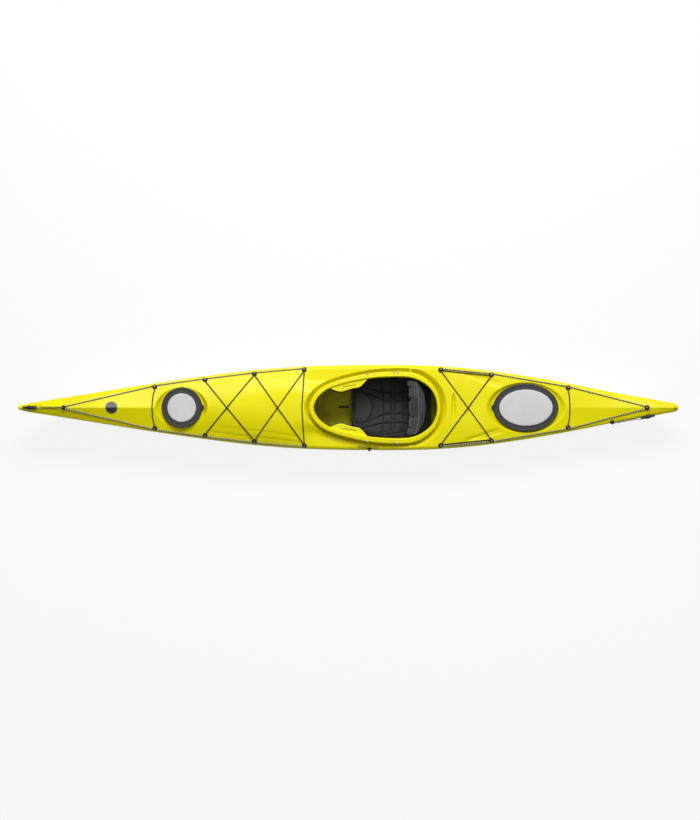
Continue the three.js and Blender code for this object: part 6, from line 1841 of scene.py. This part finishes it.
build_back_shell()
for hand, side in HANDS:
    turned = Matrix.Translation((BACK_PIVOT.x, side * 0.185, BACK_PIVOT.z))
    turned = turned @ Matrix.Rotation(-side * math.pi / 2, 4, "X")
    bolt = lathe("backrest_bolt_" + hand, [
        (0, -0.017), (0.0046, -0.017), (0.0050, -0.0164), (0.0050, 0.0050), (0.0088, 0.0052), (0.0090, 0.0078),
        (0.0074, 0.0096), (0.0040, 0.0104), (0.0034, 0.0080), (0, 0.0080),
    ], 32, turned)
    dress(bolt, STEEL, replaces=["backrest_pivot_" + hand])

# Strap in front of the seat


def build_strap():
    """The strap from the seat's front edge down to the floor."""
    top = float(pan_top(SEAT_FRONT)) - 0.0025
    floor = WALL + 0.0016
    points = [(-0.0005, top), (-0.0106, top - 0.003), (-0.031, top * 0.72), (-0.053, top * 0.40),
              (-0.070, floor + 0.005), (-0.088, floor + 0.0012)]
    line = smooth_path([(SEAT_FRONT + x, z) for x, z in points], 0.003)
    run = np.gradient(line, axis=0)
    run /= np.linalg.norm(run, axis=1)[:, None]
    normal = np.column_stack([-run[:, 1], run[:, 0]])
    section = [(-1, -0.6), (-1, 0.6), (-0.8, 1), (0, 1.1), (0.8, 1), (1, 0.6), (1, -0.6), (0.8, -1), (-0.8, -1)]
    rings = [
        [(x + nx * lift * 0.0012, 0.005 + side * 0.0055, z + nz * lift * 0.0012) for side, lift in section]
        for (x, z), (nx, nz) in zip(line, normal)
    ]
    dress(loft("seat_strap", rings), WEBBING, replaces=["leg_strap"])
    x, z = line[3]
    grommet = lathe("strap_grommet", [
        (0, 0.0), (0.0018, 0.0), (0.0022, 0.0012), (0.0036, 0.0016), (0.0046, 0.0008), (0.0042, -0.0004),
        (0, -0.0004),
    ], 24, Matrix.Translation((x, 0.005, z + 0.0014)))
    dress(grommet, STEEL)


build_strap()

# Bulkheads


def build_bulkhead(node, face):
    """A block of foam that fills the hull's section, its edges slightly rounded."""
    thick = 0.045
    xs = np.array([face, face + 0.0015, face + thick - 0.0015, face + thick])
    rings = []
    for i, x in enumerate(xs):
        here = np.array([x])
        inset = WALL + 0.0006 + (0.0015 if i in (0, 3) else 0)
        across, up = (v[0] for v in side_points(here, inset, 16))
        wide, shoulder = float(half_width(x)), float(shoulder_at(x))
        share = np.linspace(1, -1, 41)
        deck_y = share * (wide - shoulder - inset * 0.5)
        deck_z = deck_height(np.full(41, x), deck_y) - inset
        y = np.concatenate([across, deck_y, -across[::-1]])
        z = np.concatenate([up, deck_z, up[::-1]])
        rings.append(np.column_stack([np.full(len(y), x), y, z]))
    dress(loft(node + "_foam", rings), FOAM, replaces=[node])


build_bulkhead("bow_bulkhead", -0.787)
build_bulkhead("stern_bulkhead", 0.652)

# Skeg, its slider, badge and plug

SLIDER_SEAT = Matrix.Translation((
    0, -(float(half_width(SLIDER_X)) - SHOULDER / 2), float(sheer_z(SLIDER_X)) + SHOULDER / 2,
)) @ Matrix.Rotation(math.radians(45), 4, "X")


def build_slider():
    """The skeg's knob on its foot, with the dark seal of the slot."""
    low = -SLIDER_ROOM + 0.0003 + 0.0025 + 0.0003  # the recess's floor, the track on it, and the gaps between
    across, along = squared_round(EVEN_TURN, 0.5, 0.5)
    base = loft("base", [
        np.column_stack([KNOB_X + long * across, wide * along, np.full(32, low + z)])
        for z, long, wide in ((0, 0.0096, 0.0056), (0.001, 0.010, 0.006), (0.006, 0.0098, 0.0058),
                              (0.009, 0.0086, 0.0052), (0.0105, 0.0070, 0.0046))
    ])
    grip = lathe("grip", [
        (0, 0.006), (0.0042, 0.006), (0.0042, 0.0125), (0.0056, 0.0140), (0.0078, 0.0156), (0.0082, 0.0172),
        (0.0080, 0.0196), (0.0066, 0.0212), (0.0036, 0.0220), (0, 0.0220),
    ], 28, Matrix.Translation((KNOB_X, 0, low)))
    seal = loft("seal", [
        np.column_stack([KNOB_X + 0.019 * reach * np.cos(EVEN_TURN), 0.0048 * reach * np.sin(EVEN_TURN),
                         np.full(32, low + up)])
        for up, reach in ((-0.0002, 1.0), (0.0006, 1.0), (0.0010, 0.92))
    ])
    knob = join("slider_knob", [base, grip, seal])
    knob.data.transform(SLIDER_SEAT)
    dress(knob, BLACK, "slider", ["skeg_slider"])


build_slider()


def build_badge():
    """A thin disc that follows the deck's crown."""
    rings, turn = [], round_turn(48)
    seat_x, radius = -1.587, 0.0415
    for share in (0.0, 0.3, 0.6, 0.85, 0.96, 1.0):
        x, y = seat_x + radius * share * np.cos(turn), radius * share * np.sin(turn)
        rise = 0.0012 if share < 0.97 else 0.0004
        rings.append(np.column_stack([x, y, deck_plain(x, y) + rise]))
    rings.append(rings[-1] - [0, 0, 0.0012])
    dress(loft("bow_badge", rings), badge("badge_disc", (seat_x, 0.0)), replaces=["deck_badge"])


build_badge()
plug = lathe("stern_drain_plug", [
    (0, -0.006), (0.0056, -0.006), (0.0056, 0.0003), (0.0050, 0.0009), (0.0040, 0.0006), (0.0034, -0.0006),
    (0, -0.0008),
], 28, Matrix.Translation((PLUG_X, 0, float(deck_height(PLUG_X, 0.0)))))
dress(plug, RUBBER, replaces=["stern_plug"])

# The skeg's cable, from the slider aft along the port side and in to the skeg's box
CABLE = [
    (0.300, -0.268, 0.246), (0.450, -0.263, 0.240), (0.600, -0.256, 0.236), (0.750, -0.242, 0.230),
    (0.900, -0.222, 0.224), (1.050, -0.203, 0.218), (1.188, -0.180, 0.210), (1.290, -0.148, 0.198),
    (1.350, -0.105, 0.180), (1.392, -0.055, 0.155), (1.420, -0.018, 0.136),
    (1.4364, 0, 0.127), (1.4484, 0, 0.127),
]
start = SLIDER_SEAT @ Vector((SLIDER_X + 0.059 + 0.0053, 0, -0.010))
route = smooth_path([tuple(start), (start.x + 0.018, start.y, start.z), *CABLE], 0.008)
dress(tube("skeg_cable", route, 0.003, 12), BLACK, replaces=["skeg_cable_housing"])

# CAD nodes that stay, with a rounded edge


def build_pan():
    """The pan with its two hangers, whose tops lie against the underside of the recess."""
    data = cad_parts["seat_pan"].data.copy()
    piece = add_object("seat_pan_moulding", data)
    places = places_of(data.vertices)
    foot = 0.14  # below this the hangers keep their form
    hanger = (np.abs(places[:, 1]) > 0.2) & (places[:, 2] > foot)
    hung_at = np.linspace(0.28, 0.35, 8)
    room = float(np.min(recess_floor(hung_at, np.full(8, 0.24)))) - 0.008
    scale = (room - foot) / (places[:, 2].max() - foot)
    places[hanger, 2] = foot + (places[hanger, 2] - foot) * scale
    data.vertices.foreach_set("co", places.ravel())
    data.materials.clear()
    piece.data.update()
    # The pan takes the darkened copy of the black plastic, painted shade
    dress(piece, PAN_BLACK_SHADED, replaces=["seat_pan"])
    bevelled(piece, 0.0012)


def bevelled(piece, width):
    """Rounds the sharp edges."""
    bevel = piece.modifiers.new("edges", "BEVEL")
    bevel.width = width
    bevel.segments = 2
    bevel.limit_method = "ANGLE"
    bevel.angle_limit = math.radians(35)


build_pan()
KEPT_NODES = [
    ("foot_rail_starboard", BLACK, 0.0016), ("foot_rail_port", BLACK, 0.0016),
    ("foot_pedal_starboard", BLACK, 0.0018), ("foot_pedal_port", BLACK, 0.0018), ("skeg_box", BLACK, 0.0010),
    ("skeg_blade", BLACK, 0.0020), ("skeg_pivot_pin", STEEL, 0.0004), ("skeg_track", YELLOW, 0.0006),
]
for name, material, width in KEPT_NODES:
    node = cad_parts[name]
    node.data.materials.clear()
    node.data.materials.append(material)
    bevelled(node, width)

# Floor and light


def floor_material():
    """White to the camera and in reflections, and otherwise a plain floor that takes the shadow."""
    net = Net("floor_white")
    tree = net.tree
    ray = net.node("ShaderNodeLightPath", out="Is Camera Ray")
    glossy = net.node("ShaderNodeLightPath", out="Is Glossy Ray")
    white = tree.nodes.new("ShaderNodeEmission")
    white.inputs["Color"].default_value = (1, 1, 1, 1)
    white.inputs["Strength"].default_value = 1.0
    net.shine(Roughness=0.9, Specular_IOR_Level=0.1)
    net.shader.inputs["Base Color"].default_value = (0.82, 0.82, 0.82, 1)
    blend = tree.nodes.new("ShaderNodeMixShader")
    seen = ray.most(glossy) * 0.86  # the rest shows the shadow
    tree.links.new(seen.socket, blend.inputs[0])
    tree.links.new(net.shader.outputs[0], blend.inputs[1])
    tree.links.new(white.outputs[0], blend.inputs[2])
    tree.links.new(blend.outputs[0], net.out.inputs[0])
    return net.material


def build_floor():
    half, count = 14.0, 12
    line = np.linspace(-half, half, count)
    X, Y = np.meshgrid(line, line, indexing="ij")
    points = np.stack([X, Y, np.full(X.shape, -0.001)], -1).reshape(-1, 3)
    floor = mesh_object("floor", points, grid_faces(count, count))
    if floor.data.polygons[0].normal.z < 0:
        floor.data.flip_normals()
    floor.data.materials.append(floor_material())


build_floor()


def area_light(name, place, target, size, power):
    data = bpy.data.lights.new(name, "AREA")
    data.shape = "RECTANGLE"
    data.size, data.size_y = size
    data.energy = power
    light = add_object(name, data)
    light.location = place
    light.rotation_euler = (Vector(target) - Vector(place)).to_track_quat("-Z", "Y").to_euler()


area_light("key", (0.3, 5.5, 6.7), (0, 0, 0.2), (7.0, 3.0), 735)
area_light("overhead", (0, 0, 7.2), (0, 0, 0), (5.0, 2.4), 58)

world = bpy.data.worlds.new("studio")
world.use_nodes = True
scene.world = world
tree = world.node_tree
back = tree.nodes["Background"]
back.inputs["Color"].default_value = (1, 1, 1, 1)
path_node = tree.nodes.new("ShaderNodeLightPath")
level = tree.nodes.new("ShaderNodeMapRange")
level.inputs["To Min"].default_value = 0.16  # what falls on the boat
level.inputs["To Max"].default_value = 1.0  # what the camera sees
tree.links.new(path_node.outputs["Is Camera Ray"], level.inputs["Value"])
tree.links.new(level.outputs[0], back.inputs["Strength"])

scene.view_settings.view_transform = "Standard"
